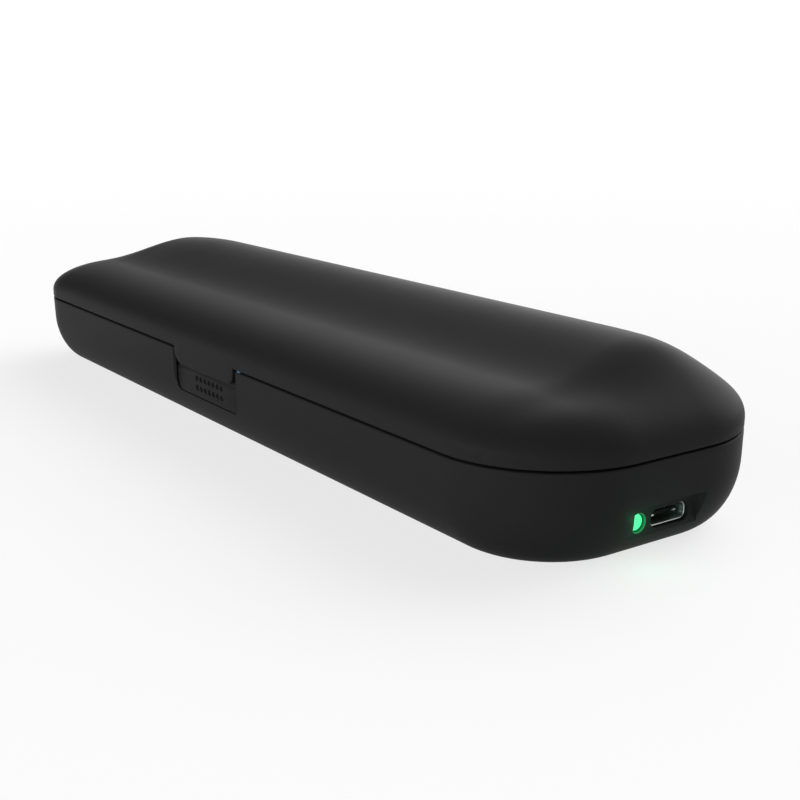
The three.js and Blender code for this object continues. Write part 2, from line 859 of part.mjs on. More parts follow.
function bothTrays() {
  const outerGap = baseWall + seatGap;
  const room = baseCore(outerGap, baseFloor + seatGap, partingHeight + rimRise);
  const inner = baseCore(outerGap + trayWall, baseFloor + seatGap + trayWall, partingHeight + overrun);
  const deck = outlineSlab(outerGap, deckBottom, deckTop);
  const rim = cut(
    outlineSlab(outerGap, deckBottom, partingHeight + rimRise),
    outlineSlab(outerGap + trayWall, deckBottom - overrun, partingHeight + overrun),
  );
  const below = outlineSlab(0, 0, deckTop);
  const notch = block(
    -latchRoomHalf, latchRoomHalf, -halfWidth - overrun, latchRoomBack, -overrun, partingHeight + overrun,
  );
  const notchWall = block(
    -latchRoomHalf - trayWall, latchRoomHalf + trayWall, -halfWidth, latchRoomBack + trayWall,
    deckBottom - trayWall * 4, deckTop,
  );
  const aboveDeck = block(housingFarX, halfLength, 0, halfWidth - outerGap * 2, deckBottom, crestHeight);
  const blank = joined(
    deck, rim, notchWall,
    headBays(trayWall, baseFloor).intersect(below),
    handleTrough(trayWall).intersect(below),
    housing(housingRadius, housingFarX, deckBottom),
  ).intersect(joined(room, aboveDeck));
  return cut(
    blank,
    headBays(0, baseFloor).intersect(inner),
    handleTrough(0).intersect(inner),
    housing(housingRadius - trayWall, housingFarX + trayWall, deckBottom - overrun),
    notch,
    postHole(),
    ...trayScrewPlaces.map(([x, y]) => screwHole(x, y, deckBottom - overrun, deckTop + overrun)),
    ...trayScrewPlaces.map(([x, y]) => uprightRod(x, y, screwHead + seatGap, deckTop, deckTop + overrun)),
  );
}

function trayHalf(lowY, highY) {
  const area = block(-halfLength, halfLength, lowY, highY, 0, crestHeight);
  return bothTrays().intersect(area);
}

// Release button: dimpled plate, flanges behind the wall, catch arm with its nose, and two spring pegs

function dimples() {
  const parts = [];
  for (let row = 0; row < 2; row += 1) {
    for (let column = 0; column < dimpleCount; column += 1) {
      const x = (column - (dimpleCount - 1) / 2) * dimplePitch;
      const z = springZ - dimpleDrop + (0.5 - row) * dimpleRowPitch;
      const cone = new THREE.ConeGeometry(dimpleRadius * 2, dimpleDepth * 2, dimpleSteps);
      parts.push(solidOf(cone.translate(x, buttonFaceY, z)));
    }
  }
  return joined(...parts);
}

function makeButton() {
  const half = windowHalfWidth - buttonGap;
  const face = pocketOutline(half, buttonBottom, buttonTop, windowRadius - buttonGap);
  const plate = alongY(face, buttonFaceY, flangeBackY, arcSteps);
  const wing = windowHalfWidth + flangeOverlap;
  const flange = alongY(rectangle(-wing, wing, flangeBottom, buttonTop), flangeFrontY, flangeBackY);
  const arm = polygon(
    [flangeFrontY, flangeBottom], [flangeBackY, flangeBottom], [flangeBackY, noseTop],
    [noseTipY + noseRise / 2, noseTop], [noseTipY, noseTop - noseRise / 2], [noseTipY, noseBottom],
    [flangeFrontY, noseBottom],
  );
  const pegs = [-springX, springX].map((x) => alongY(
    disc(x, springZ, pegRadius), flangeBackY - flangeThickness / 2, flangeBackY + pegLength, arcSteps * 2,
  ));
  const catchHalf = barbHalfWidth + seatGap;
  return cut(joined(plate, flange, alongX(arm, -catchHalf, catchHalf), ...pegs), dimples());
}

// Latch bracket, and the springs between it and the button

function makeBracket() {
  const outside = bracketSide + bracketWall;
  const back = block(-outside, outside, bracketInnerY, bracketBackY, baseFloor, bracketTop);
  const cheeks = [-1, 1].map((side) => block(
    Math.min(side * bracketSide, side * outside), Math.max(side * bracketSide, side * outside),
    -halfWidth, bracketBackY, baseFloor, bracketTop,
  ));
  const foot = block(
    -outside, outside, bracketScrewY - smallScrewHead, bracketBackY, bracketFootBottom, bracketFootTop,
  );
  const footRoom = block(
    -bracketScrewX + smallBossRadius * 2, bracketScrewX - smallBossRadius * 2, -halfWidth, bracketInnerY,
    bracketFootBottom - overrun, bracketFootTop + overrun,
  );
  const bossRoom = [-1, 1].map((side) => uprightRod(
    side * bracketScrewX, bracketScrewY, smallBossRadius + seatGap, baseFloor - overrun, bracketFootBottom,
  ));
  const pegs = [-springX, springX].map((x) => alongY(
    disc(x, springZ, pegRadius), bracketInnerY - pegLength, bracketInnerY + bracketWall / 2, arcSteps * 2,
  ));
  const room = baseCore(baseWall + seatGap, baseFloor + seatGap, partingHeight);
  const frame = joined(back, ...cheeks, cut(foot, footRoom)).intersect(room);
  const holes = [-1, 1].map((side) => screwHole(
    side * bracketScrewX, bracketScrewY, bracketFootBottom - overrun, bracketFootTop + overrun,
  ));
  return cut(joined(frame, ...pegs), ...bossRoom, ...holes);
}

class Helix extends THREE.Curve {
  constructor(x, z, low, high) {
    super();
    this.centre = new Vector3(x, low, z);
    this.length = high - low;
  }

  getPoint(share, target = new Vector3()) {
    const angle = share * springTurns * Math.PI * 2;
    const across = springRadius * Math.cos(angle);
    const up = springRadius * Math.sin(angle);
    return target.copy(this.centre).add(new Vector3(across, this.length * share, up));
  }
}

function makeSpring(x) {
  const low = flangeBackY + seatGap + springWire / 2;
  const high = bracketInnerY - seatGap - springWire / 2;
  return tube(springWire / 2, new Helix(x, springZ, low, high), springTurns * turnSteps / 2);
}

// Socket, lamp and electronics

function makePortShell() {
  const bore = alongX(portOutline(-portMetal), portFarX - overrun, portNearX + overrun, arcSteps);
  return cut(alongX(portOutline(0), portFarX, portNearX, arcSteps), bore);
}

function makePortTongue() {
  const foot = portOutline(-portMetal - portHoleGap);
  const tip = portNearX - portTongueSetback;
  const across = portTongueWidth / 2;
  const rise = portTongueHeight / 2;
  return joined(
    alongX(foot, portFarX, portFarX + portBlockLength, arcSteps),
    block(portFarX, tip, portY - across, portY + across, portZ - rise, portZ + rise),
  );
}

function makeLightGuide() {
  const lens = pocketFloorX - lampSetback;
  const flange = lampBackX + lampFlangeThickness;
  return turnedAlongX([
    [0, lampBackX], [lampFlangeRadius, lampBackX],
    [lampFlangeRadius, flange], [lampRadius, flange], [lampRadius, lens - lampDome],
    [lampRadius * 2 / 3, lens - lampDome / 3], [0, lens],
  ], lampY, lampZ);
}

function makeLed() {
  const near = lampBackX - seatGap * 2;
  const low = boardTop + seatGap;
  return block(near - ledLength, near, lampY - ledWidth / 2, lampY + ledWidth / 2, low, low + ledHeight);
}

function makeBoard() {
  const plate = outlineSlab(boardInset, boardBottom, boardTop);
  const boardNearX = lampBackX - seatGap;
  const area = block(boardFarX, boardNearX, -boardHalfWidth, boardHalfWidth, 0, partingHeight);
  const holes = [-1, 1].map((side) => screwHole(boardScrewX, side * boardScrewY, 0, partingHeight));
  return cut(plate.intersect(area), ...holes);
}

function makeChip() {
  const half = chipSize / 2;
  const low = boardTop + boardGap;
  return block(chipX - half, chipX + half, -half, half, low, low + chipHeight);
}

// Charging post in the housing, with its ferrite, coil and leads

const postFlangeFarX = housingFarX + trayWall + seatGap;
const postEndX = postFlangeFarX + postFlangeThickness;
const postTipX = handleEndX - postLength;

function makePost() {
  const nose = postRadius / 3;
  return turnedAlongX([
    [0, postTipX], [postRadius - nose, postTipX], [postRadius, postTipX + nose], [postRadius, postFlangeFarX],
    [postFlangeRadius, postFlangeFarX], [postFlangeRadius, postEndX], [postBore, postEndX],
    [postBore, postTipX + postTipWall], [0, postTipX + postTipWall],
  ], handleY, handleZ);
}

function makeFerrite() {
  const low = postTipX + postTipWall + seatGap;
  const rod = [[0, low], [ferriteRadius, low], [ferriteRadius, postEndX], [0, postEndX]];
  return turnedAlongX(rod, handleY, handleZ);
}

function makeCoil() {
  const low = postTipX + postTipWall + seatGap * 2;
  const inner = coilRadius - coilThickness;
  const high = low + coilLength;
  const section = [[inner, low], [coilRadius, low], [coilRadius, high], [inner, high], [inner, low]];
  return turnedAlongX(section, handleY, handleZ);
}

function makeLead(side) {
  const x = postEndX + seatGap + leadRadius;
  const y = handleY + side * leadSpacing / 2;
  const route = new THREE.CatmullRomCurve3([
    new Vector3(x, y, handleZ + leadSpacing),
    new Vector3(x + leadSpacing / 3, y, handleZ - leadSpacing / 3),
    new Vector3(x + leadSpacing / 2, y, (handleZ + boardTop) / 2),
    new Vector3(x + leadSpacing, y, boardTop + seatGap),
  ]);
  return tube(leadRadius, route, turnSteps / 2);
}

// Assembly

const travelCase = new THREE.Group();

function addPiece(name, solid, color, roughness, metalness = 0) {
  const mesh = solid.getMesh();
  const geometry = new THREE.BufferGeometry();
  geometry.setAttribute("position", new THREE.Float32BufferAttribute(mesh.vertProperties, 3));
  geometry.setIndex(new THREE.Uint32BufferAttribute(mesh.triVerts, 1));
  geometry.computeVertexNormals();
  const piece = new THREE.Mesh(geometry, new THREE.MeshStandardMaterial({ color, roughness, metalness }));
  piece.name = name;
  travelCase.add(piece);
}

const ends = ["far", "near"];
const sides = ["front", "rear"];
const matteBlack = "#1b1b1c";
const trayGrey = "#26272a";
const steel = "#b9bcc0";

addPiece("base_shell", makeBase(), matteBlack, 0.5);
addPiece("lid_shell", makeLid(), matteBlack, 0.5);
addPiece("lid_catch", makeCatch(), matteBlack, 0.5);
addPiece("handle_tray", trayHalf(traySplitY + seatGap / 2, halfWidth), trayGrey, 0.65);
addPiece("head_tray", trayHalf(-halfWidth, traySplitY - seatGap / 2), trayGrey, 0.65);
addPiece("lid_liner", makeLiner(), trayGrey, 0.65);
hingePlaces.forEach((x, end) => addPiece(`hinge_pin_${ends[end]}`, hingePin(x), steel, 0.3, 1));
addPiece("release_button", makeButton(), "#1d1d1e", 0.5);
addPiece("latch_bracket", makeBracket(), "#1f5c80", 0.5);
[-springX, springX].forEach((x, end) => {
  addPiece(`button_spring_${ends[end]}`, makeSpring(x), steel, 0.3, 1);
});
[-bracketScrewX, bracketScrewX].forEach((x, end) => {
  const piece = screw(x, bracketScrewY, bracketFootTop, bracketScrewLength, smallScrewHead);
  addPiece(`bracket_screw_${ends[end]}`, piece, steel, 0.35, 1);
});
trayScrewPlaces.forEach(([x, y], index) => {
  addPiece(`tray_screw_${index + 1}`, screw(x, y, deckTop, trayScrewLength, screwHead), "#2a2a2c", 0.4, 1);
});
addPiece("usb_port_shell", makePortShell(), "#c9ccd0", 0.25, 1);
addPiece("usb_port_tongue", makePortTongue(), "#111112", 0.5);
addPiece("light_guide", makeLightGuide(), "#7dffc0", 0.2);
addPiece("status_led", makeLed(), "#e8efe9", 0.4);
addPiece("circuit_board", makeBoard(), "#1d5a38", 0.5);
addPiece("controller_chip", makeChip(), "#151516", 0.45);
[-boardScrewY, boardScrewY].forEach((y, side) => {
  const piece = screw(boardScrewX, y, boardTop, boardScrewLength, smallScrewHead);
  addPiece(`board_screw_${sides[side]}`, piece, steel, 0.35, 1);
});
addPiece("charging_post", makePost(), "#202023", 0.45);
addPiece("ferrite_core", makeFerrite(), "#3a3a3d", 0.8);
addPiece("charging_coil", makeCoil(), "#b0622c", 0.4, 1);
addPiece("coil_lead_1", makeLead(-1), "#8c2f2a", 0.5);
addPiece("coil_lead_2", makeLead(1), "#1a1a1a", 0.5);

export default travelCase;
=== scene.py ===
import math

import bmesh
import bpy
import numpy as np
from mathutils import Matrix, Vector


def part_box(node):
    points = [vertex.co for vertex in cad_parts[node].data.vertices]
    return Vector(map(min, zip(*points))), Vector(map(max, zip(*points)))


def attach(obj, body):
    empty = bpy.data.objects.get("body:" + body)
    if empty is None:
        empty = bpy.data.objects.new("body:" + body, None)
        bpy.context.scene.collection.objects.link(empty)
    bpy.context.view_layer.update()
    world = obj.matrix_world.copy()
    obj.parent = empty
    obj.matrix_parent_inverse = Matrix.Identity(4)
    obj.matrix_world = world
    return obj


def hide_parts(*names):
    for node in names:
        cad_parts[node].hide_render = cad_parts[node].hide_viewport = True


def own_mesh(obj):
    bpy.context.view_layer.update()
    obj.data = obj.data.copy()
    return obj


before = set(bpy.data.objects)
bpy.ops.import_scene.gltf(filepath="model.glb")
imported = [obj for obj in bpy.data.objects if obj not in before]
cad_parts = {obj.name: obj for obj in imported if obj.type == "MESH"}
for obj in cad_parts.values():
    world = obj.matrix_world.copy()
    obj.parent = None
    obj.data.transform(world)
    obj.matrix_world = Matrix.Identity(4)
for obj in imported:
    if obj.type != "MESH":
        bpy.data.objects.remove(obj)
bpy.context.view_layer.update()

# Camera
# It stands where the photograph was taken from: off the socket end, on the latch side, a little above the
# case. Its place and its turn were fitted to the outline of the case. The angles are in radians.

yaw, pitch, roll = 0.961099, 0.258386, -0.002608
camera_place = Vector((0.246956, -0.149964, 0.080149))
back = Vector((math.sin(yaw) * math.cos(pitch), -math.cos(yaw) * math.cos(pitch), math.sin(pitch)))
right = Vector((0, 0, 1)).cross(back).normalized()
upward = back.cross(right)
right, upward = (
    math.cos(roll) * right + math.sin(roll) * upward,
    math.cos(roll) * upward - math.sin(roll) * right,
)
camera_turn = Matrix((right, upward, back)).transposed().to_quaternion()
camera_data = bpy.data.cameras.new("camera")
camera_data.lens = 55.6
camera_data.sensor_width = 36
camera_data.clip_start = 0.01
camera = bpy.data.objects.new("camera", camera_data)
camera.matrix_world = Matrix.LocRotScale(camera_place, camera_turn, None)
bpy.context.collection.objects.link(camera)
bpy.context.scene.camera = camera

# Lid
# The upper shell is one injection moulding in black plastic with a fine matte texture, 1.7 mm thick.
# A low shoulder runs along the front and a hump along the rear, over the handle of the toothbrush.
# Its front edge goes down as a tongue into the latch window, and two knuckles at the rear carry the hinges.

half_length, half_width = 112.5, 31.55
near_radius, far_radius = 23, 21.5
parting_z, parting_gap = 18.6, 0.4
lip_z, lid_wall, rim, lid_along = 20.3, 1.7, 0.3, 42
# The wave: the shoulder, the hump's rise to its crest and its fall to the rear, and how both ends slope
shoulder_z, hump_rise, rear_fall = 28, 6.1, 4.7
hump_foot_y, crest_y = -14.2, 10.7
far_slope_start, far_slope_end = 69.5, 149.5
near_slope_start, near_crown_z = 95.8, 30.5
# How far in from the outline the sides go on rising, and the power that rounds them
front_run, rear_more_run, near_run, far_run = 16.8, 1.2, 27, 22.8
end_blend, end_margin = 12, 4
fullness = 2.13
tongue_half, tongue_low, tongue_radius = 14.55, 14.95, 3
hinge_y, hinge_spacing = 32.65, 124
hinge_places = (-hinge_spacing / 2, hinge_spacing / 2)
knuckle_radius, knuckle_gap, knuckle_root_y = 2, 0.3, 30.55
lid_knuckle, base_knuckle = 12, 7


def eased(value, start, end):
    """From 0 at the start to 1 at the end, as half a wave."""
    share = np.clip((value - start) / (end - start), 0, 1)
    return (1 - np.cos(np.pi * share)) / 2


def smoother(value, start, end):
    """From 0 at the start to 1 at the end, with no bend at either."""
    share = np.clip((value - start) / (end - start), 0, 1)
    return share**3 * (share * (share * 6 - 15) + 10)


def lid_height(x, y, shift):
    """Height of the lid's surface, moved inwards by shift. All in millimetres."""
    rise = hump_rise * eased(y, hump_foot_y, crest_y)
    fall = rear_fall * eased(y, crest_y, half_width)
    crown = shoulder_z + (rise - fall) * (1 - eased(-x, far_slope_start, far_slope_end))
    crown = crown + (near_crown_z - crown) * eased(x, near_slope_start, half_length)
    run = front_run + rear_more_run * smoother(y, -half_width, half_width)
    end = half_length - end_margin
    run = run + (near_run - run) * smoother(x, half_length - near_radius - end_blend, end)
    run = run + (far_run - run) * smoother(-x, half_length - far_radius - end_blend, end)
    radius = np.where(x > 0, near_radius, far_radius)
    past_x = np.abs(x) - (half_length - radius)
    past_y = np.abs(y) - (half_width - radius)
    outside = np.hypot(np.maximum(past_x, 0), np.maximum(past_y, 0))
    inset = radius - outside - np.minimum(np.maximum(past_x, past_y), 0)
    share = np.clip((inset - shift) / (run - shift), 0, 1)
    return lip_z + (crown - shift - lip_z) * (1 - (1 - share) ** fullness) ** (1 / fullness)


def end_stations(side, radius, shift, angles):
    """Cross-sections of one rounded end, as pairs of x and half width."""
    return [(side * (half_length - shift - (radius - shift) * (1 - np.cos(a))),
             half_width - shift - (radius - shift) * (1 - np.sin(a))) for a in angles]


def lid_grid(shift, arc_steps, across, marks=()):
    """Points of the lid's surface as an array of stations by steps across. Marks are extra stations."""
    angles = np.linspace(0, np.pi / 2, arc_steps + 1)
    far = end_stations(-1, far_radius, shift, angles)
    near = end_stations(1, near_radius, shift, angles[::-1])
    middle = sorted([*np.linspace(far[-1][0], near[0][0], lid_along)[1:-1], *marks])
    stations = far + [(x, half_width - shift) for x in middle] + near
    turns = np.sin(np.pi * (np.arange(across + 1) / across - 0.5))
    x = np.array([[s[0]] * (across + 1) for s in stations])
    y = np.array([s[1] * turns for s in stations])
    return np.stack([x, y, lid_height(x, y, shift)], axis=-1)


def loop_of(rows, columns):
    """Indices of a grid's edge, counterclockwise from above, from its low corner."""
    front = [row * columns for row in range(rows - 1)]
    near = [(rows - 1) * columns + column for column in range(columns - 1)]
    rear = [row * columns + columns - 1 for row in range(rows - 1, 0, -1)]
    far = list(range(columns - 1, 0, -1))
    return front + near + rear + far


def grid_faces(rows, columns, first=0, flip=False):
    """Quads of a grid whose points start at an index."""
    faces = []
    for row in range(rows - 1):
        for column in range(columns - 1):
            a = first + row * columns + column
            face = (a, a + columns, a + columns + 1, a + 1)
            faces.append(face[::-1] if flip else face)
    return faces


def strip_faces(lower, upper):
    """Quads between two closed loops of equal length, outwards when lower is the lower one."""
    count = len(lower)
    return [(lower[i], lower[(i + 1) % count], upper[(i + 1) % count], upper[i]) for i in range(count)]


def soften(piece, degrees):
    """Smooth shading, with the edges that bend more than the angle kept sharp."""
    mesh = piece.data
    mesh.shade_smooth()
    mesh.set_sharp_from_angle(angle=math.radians(degrees))


def mesh_object(name, points, faces, material=None, smooth=35):
    """A welded mesh from points in millimetres. Smooth is the angle up to which its shading is smooth."""
    mesh = bpy.data.meshes.new(name)
    mesh.from_pydata([tuple(c / 1000 for c in p) for p in points], [], faces)
    work = bmesh.new()
    work.from_mesh(mesh)
    bmesh.ops.remove_doubles(work, verts=work.verts, dist=1e-7)
    bmesh.ops.recalc_face_normals(work, faces=work.faces)
    work.to_mesh(mesh)
    work.free()
    piece = bpy.data.objects.new(name, mesh)
    bpy.context.collection.objects.link(piece)
    if material:
        mesh.materials.append(material)
    soften(piece, smooth)
    return piece


def settled(piece, smooth=35):
    """Replaces a piece's mesh by what its modifiers make of it."""
    graph = bpy.context.evaluated_depsgraph_get()
    mesh = bpy.data.meshes.new_from_object(piece.evaluated_get(graph))
    piece.modifiers.clear()
    piece.data = mesh
    soften(piece, smooth)


def combine(piece, others, operation, smooth=35):
    for other in others:
        if not other.data.materials and piece.data.materials:
            other.data.materials.append(piece.data.materials[0])
        step = piece.modifiers.new("combine", "BOOLEAN")
        step.operation = operation
        step.object = other
        step.solver = "MANIFOLD"
        settled(piece, smooth)
        bpy.data.objects.remove(other)
    return piece


def cut(piece, *others, smooth=35):
    """Cuts other pieces out of a piece, and deletes them."""
    return combine(piece, others, "DIFFERENCE", smooth)


def join(piece, *others):
    """Makes other pieces one with a piece, and deletes them."""
    return combine(piece, others, "UNION")


def keep(piece, other):
    """Keeps only what a piece shares with another, and deletes the other."""
    return combine(piece, [other], "INTERSECT")


def ease_edges(piece, width, degrees=40, segments=2):
    """Small rounded edges, as a mould leaves them, where the bend is more than the angle."""
    step = piece.modifiers.new("ease", "BEVEL")
    step.width = width / 1000
    step.segments = segments
    step.limit_method = "ANGLE"
    step.angle_limit = math.radians(degrees)
    settled(piece)


def merged(name, pieces, smooth=35):
    """One object from several, which may have different materials."""
    main = pieces[0]
    for piece in pieces[1:]:
        for material in piece.data.materials:
            if material.name not in main.data.materials:
                main.data.materials.append(material)
    work = bmesh.new()
    for piece in pieces:
        start = len(work.faces)
        work.from_mesh(piece.data)
        work.faces.ensure_lookup_table()
        slots = [main.data.materials.find(m.name) for m in piece.data.materials]
        for face in work.faces[start:]:
            face.material_index = slots[face.material_index] if slots else 0
    work.to_mesh(main.data)
    work.free()
    for piece in pieces[1:]:
        bpy.data.objects.remove(piece)
    main.name = name
    soften(main, smooth)
    return main


def arc(across, up, radius, start, end, steps):
    """Points on an arc, with its angles in degrees."""
    angles = np.radians(np.linspace(start, end, steps + 1))
    return [(across + radius * math.cos(a), up + radius * math.sin(a)) for a in angles]


def circle(across, up, radius, sides):
    return arc(across, up, radius, 0, 360 - 360 / sides, sides - 1)


def rounded(left, right, low, high, radius, steps=8, top_radius=None):
    """A rectangle with rounded corners, and other ones above where asked."""
    top = radius if top_radius is None else top_radius
    return (
        arc(left + radius, low + radius, radius, 180, 270, steps)
        + arc(right - radius, low + radius, radius, 270, 360, steps)
        + (arc(right - top, high - top, top, 0, 90, steps) if top else [(right, high)])
        + (arc(left + top, high - top, top, 90, 180, steps) if top else [(left, high)])
    )


def prism(name, outline, axis, low, high, material=None):
    """An outline pushed along an axis. The outline's pairs are the two other axes in x, y, z order."""
    count = len(outline)
    points = []
    for level in (low, high):
        for pair in outline:
            point = list(pair)
            point.insert("xyz".index(axis), level)
            points.append(point)
    faces = [tuple(range(count)), tuple(range(2 * count - 1, count - 1, -1))]
    faces += [(i, (i + 1) % count, count + (i + 1) % count, count + i) for i in range(count)]
    return mesh_object(name, points, faces, material)


def set_sockets(tree, node, sockets):
    """Gives a node's inputs their constants, and links those that another node feeds."""
    for key, value in sockets.items():
        if isinstance(value, bpy.types.NodeSocket):
            tree.links.new(value, node.inputs[key])
        else:
            node.inputs[key].default_value = value


def add_node(tree, kind, sockets, operation=None):
    node = tree.nodes.new("ShaderNode" + kind)
    if operation:
        node.operation = operation
    set_sockets(tree, node, sockets)
    return node


def new_material(name):
    """A material with its node tree, its shader and the place on the object for textures."""
    material = bpy.data.materials.new(name)
    material.use_nodes = True
    tree = material.node_tree
    place = tree.nodes.new("ShaderNodeTexCoord").outputs["Object"]
    return material, tree, tree.nodes["Principled BSDF"], place


def shade_of(colour, share):
    """A colour made darker or lighter, with its alpha."""
    return (*[c * share for c in colour], 1)


def moulded_plastic(name, colour, roughness, grain=0.35, relief=0.012, level=0.016):
    """Moulded plastic with an uneven sheen and a fine texture, grain and relief in millimetres."""
    material, tree, shader, place = new_material(name)
    fine = add_node(tree, "TexNoise", {"Vector": place, "Scale": 1000 / grain, "Detail": 3}).outputs["Fac"]
    wide = add_node(tree, "TexNoise", {"Vector": place, "Scale": 60, "Detail": 4}).outputs["Fac"]
    tint = add_node(tree, "MixRGB", {0: fine, 1: shade_of(colour, 0.9), 2: shade_of(colour, 1.1)})
    sheen = add_node(tree, "MapRange", {
        "Value": wide, "To Min": roughness - 0.03, "To Max": roughness + 0.03,
    })
    bump = add_node(tree, "Bump", {"Height": fine, "Strength": 0.25, "Distance": relief / 1000})
    set_sockets(tree, shader, {
        "Base Color": tint.outputs[0],
        "Roughness": sheen.outputs["Result"],
        "Normal": bump.outputs["Normal"],
        "Specular IOR Level": level,
    })
    return material


case_black = moulded_plastic("case_black", (0.0195, 0.0195, 0.0199), 0.42)

# The surfaces have extra stations around the tongue, the outermost a hair beyond its side.
lid_arc, lid_across, hair = 30, 96, 0.001
tongue_arc = [tongue_half - tongue_radius * (1 - math.cos(a)) for a in np.linspace(0, math.pi / 2, 9)]
tongue_marks = [side * x for side in (-1, 1) for x in [tongue_half + hair, *tongue_arc]]
outer = lid_grid(0, lid_arc, lid_across, tongue_marks)
inner = lid_grid(lid_wall, lid_arc, lid_across, tongue_marks)
rows, columns = outer.shape[:2]
edge = loop_of(rows, columns)
points = [*outer.reshape(-1, 3), *inner.reshape(-1, 3)]
faces = grid_faces(rows, columns) + grid_faces(rows, columns, rows * columns, flip=True)


def lid_low(x, y):
    """Height of the lid's lower edge, which follows the tongue in the front."""
    if y > 0 or abs(x) > tongue_half:
        return parting_z + parting_gap / 2
    past = max(abs(x) - (tongue_half - tongue_radius), 0)
    return tongue_low + tongue_radius - math.sqrt(max(tongue_radius**2 - past**2, 0))


def edge_loop(inset_share, rise):
    """A loop between the outer and the inner edge, at a height above the lid's lower edge."""
    first = len(points)
    for index in edge:
        a, b = points[index], points[rows * columns + index]
        x, y = a[0] + (b[0] - a[0]) * inset_share, a[1] + (b[1] - a[1]) * inset_share
        points.append((x, y, lid_low(a[0], a[1]) + rise))
    return list(range(first, first + len(edge)))


# The wall between the surfaces is a strip of loops: the lip, its rounded lower edge, and the inner face.
quarter_turn = [math.radians(d) for d in (0, 30, 60, 90)]
levels = [(rim * (1 - math.cos(a)) / lid_wall, rim * (1 - math.sin(a))) for a in quarter_turn]
loops = [edge_loop(share, rise) for share, rise in levels]
loops += [edge_loop(1 - share, rise) for share, rise in reversed(levels)]
faces += strip_faces(loops[0], edge)
for upper, lower in zip(loops, loops[1:]):
    faces += strip_faces(lower, upper)
faces += strip_faces([rows * columns + i for i in edge], loops[-1])
lid = mesh_object("lid", points, faces, case_black)


def hinge_room(*ends):
    """The round room in one shell that a knuckle of the other shell turns in."""
    return prism("room", circle(hinge_y, parting_z, knuckle_radius + knuckle_gap, 40), "x", *sorted(ends))


def knuckle(outline, bore_radius, *ends):
    """A hinge knuckle with small rounded ends and a bore for the pin."""
    low, high = sorted(ends)
    piece = prism("knuckle", outline, "x", low, high, case_black)
    ease_edges(piece, 0.25)
    return cut(piece, prism("bore", circle(hinge_y, parting_z, bore_radius, 36), "x", low - 2, high + 2))


lid_bore = 0.9
lid_knuckle_side = [
    (hinge_y, parting_z - knuckle_radius),
    *arc(hinge_y, parting_z, knuckle_radius, -85, 90, 24),
    (hinge_y - 1.4, parting_z + knuckle_radius + 0.15),
    (knuckle_root_y, parting_z + knuckle_radius + 0.6),
    (knuckle_root_y, parting_z + parting_gap / 2),
    (hinge_y - 1.9, parting_z + parting_gap / 2),
    *arc(hinge_y, parting_z, knuckle_radius, 180, 262, 12),
]
lid_pieces = [lid]
room_end = lid_knuckle / 2 + base_knuckle + 2 * knuckle_gap
for x in hinge_places:
    for side in (-1, 1):
        cut(lid, hinge_room(x + side * lid_knuckle / 2, x + side * room_end))
    lid_pieces.append(knuckle(lid_knuckle_side, lid_bore, x - lid_knuckle / 2, x + lid_knuckle / 2))

# A flange lies behind the front wall, a web joins it to the tongue, and the barb catches the button's nose.
catch_half, catch_low, catch_top, catch_front, catch_back = 15.9, 18.05, 20.8, -29.5, -28.35
web_half, web_top, web_front, web_back = 14.2, 20, -30.9, -28.4
barb_half = 9
barb_side = [(-30.8, 15.75), (-30.35, 15.85), (-29.45, 16.225), (-29.45, 16.6), (-30.8, 16.6)]
catch_face = rounded(-catch_half, catch_half, catch_low, catch_top, 0.4, 4)
web_side = [(web_front, catch_low), (web_back, catch_low), (web_back, web_top), (web_front, web_top)]
flange = prism("flange", catch_face, "y", catch_front, catch_back, case_black)
ease_edges(flange, 0.2)
web = prism("web", web_side, "x", -web_half, web_half, case_black)
barb = prism("barb", barb_side, "x", -barb_half, barb_half, case_black)
lid = merged("lid", lid_pieces + [flange, web, barb])
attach(lid, "lid")
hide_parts("lid_shell", "lid_catch")

# Base
# The lower shell is one moulding in the same plastic, 2 mm thick, with a flat underside and rounded sides.
# The latch window is open at the parting line. The near end has a pocket for the socket and its lamp,
# and four knuckles at the rear hold the hinge pins.

base_top = parting_z - parting_gap / 2
fillet_run, fillet_rise, draft = 9.2, 13, 0.0226
base_wall, base_floor = 2, 1.8
top_inset = 0.005


def base_inset(wall, floor, height):
    """How far the base's surface lies inside the outline at a height. The floor and the wall offset it."""
    rise = max(fillet_rise - height, 0) / (fillet_rise - floor)
    curve = math.sqrt(max(1 - rise**2, 0))
    return fillet_run - (fillet_run - wall) * curve + draft * (parting_z - height)


def between(first, last, steps):
    """Points on the straight from one point to another, without its ends."""
    first, last = np.array(first), np.array(last)
    return [tuple(first + (last - first) * i / steps) for i in range(1, steps)]


def outline_ring(inset, height):
    """The case's outline, drawn inwards, counterclockwise from above."""
    corner_steps, side_steps, end_steps = 26, 30, 6
    corners = [
        (1, -1, near_radius, -90, side_steps), (1, 1, near_radius, 0, end_steps),
        (-1, 1, far_radius, 90, side_steps), (-1, -1, far_radius, 180, end_steps),
    ]
    ring = []
    for side_x, side_y, radius, start, steps in corners:
        centre = side_x * (half_length - radius), side_y * (half_width - radius)
        turned = arc(*centre, radius - inset, start, start + 90, corner_steps)
        ring += (between(ring[-1], turned[0], steps) if ring else []) + turned
    ring += between(ring[-1], ring[0], side_steps)
    return [(x, y, height) for x, y in ring]


def loft(name, rings, material=None, smooth=35, capped=True):
    """A mesh through rings of equal count, with flat ends or with its last ring joined to its first."""
    count = len(rings[0])
    points = [p for ring in rings for p in ring]
    levels = [[level * count + i for i in range(count)] for level in range(len(rings))]
    faces = [tuple(levels[0][::-1]), tuple(levels[-1])] if capped else []
    for low, high in zip(levels, levels[1:] if capped else levels[1:] + levels[:1]):
        faces += strip_faces(low, high)
    return mesh_object(name, points, faces, material, smooth)


def block(x, y, z, material=None):
    return prism("block", [(x[0], y[0]), (x[1], y[0]), (x[1], y[1]), (x[0], y[1])], "z", *z, material)


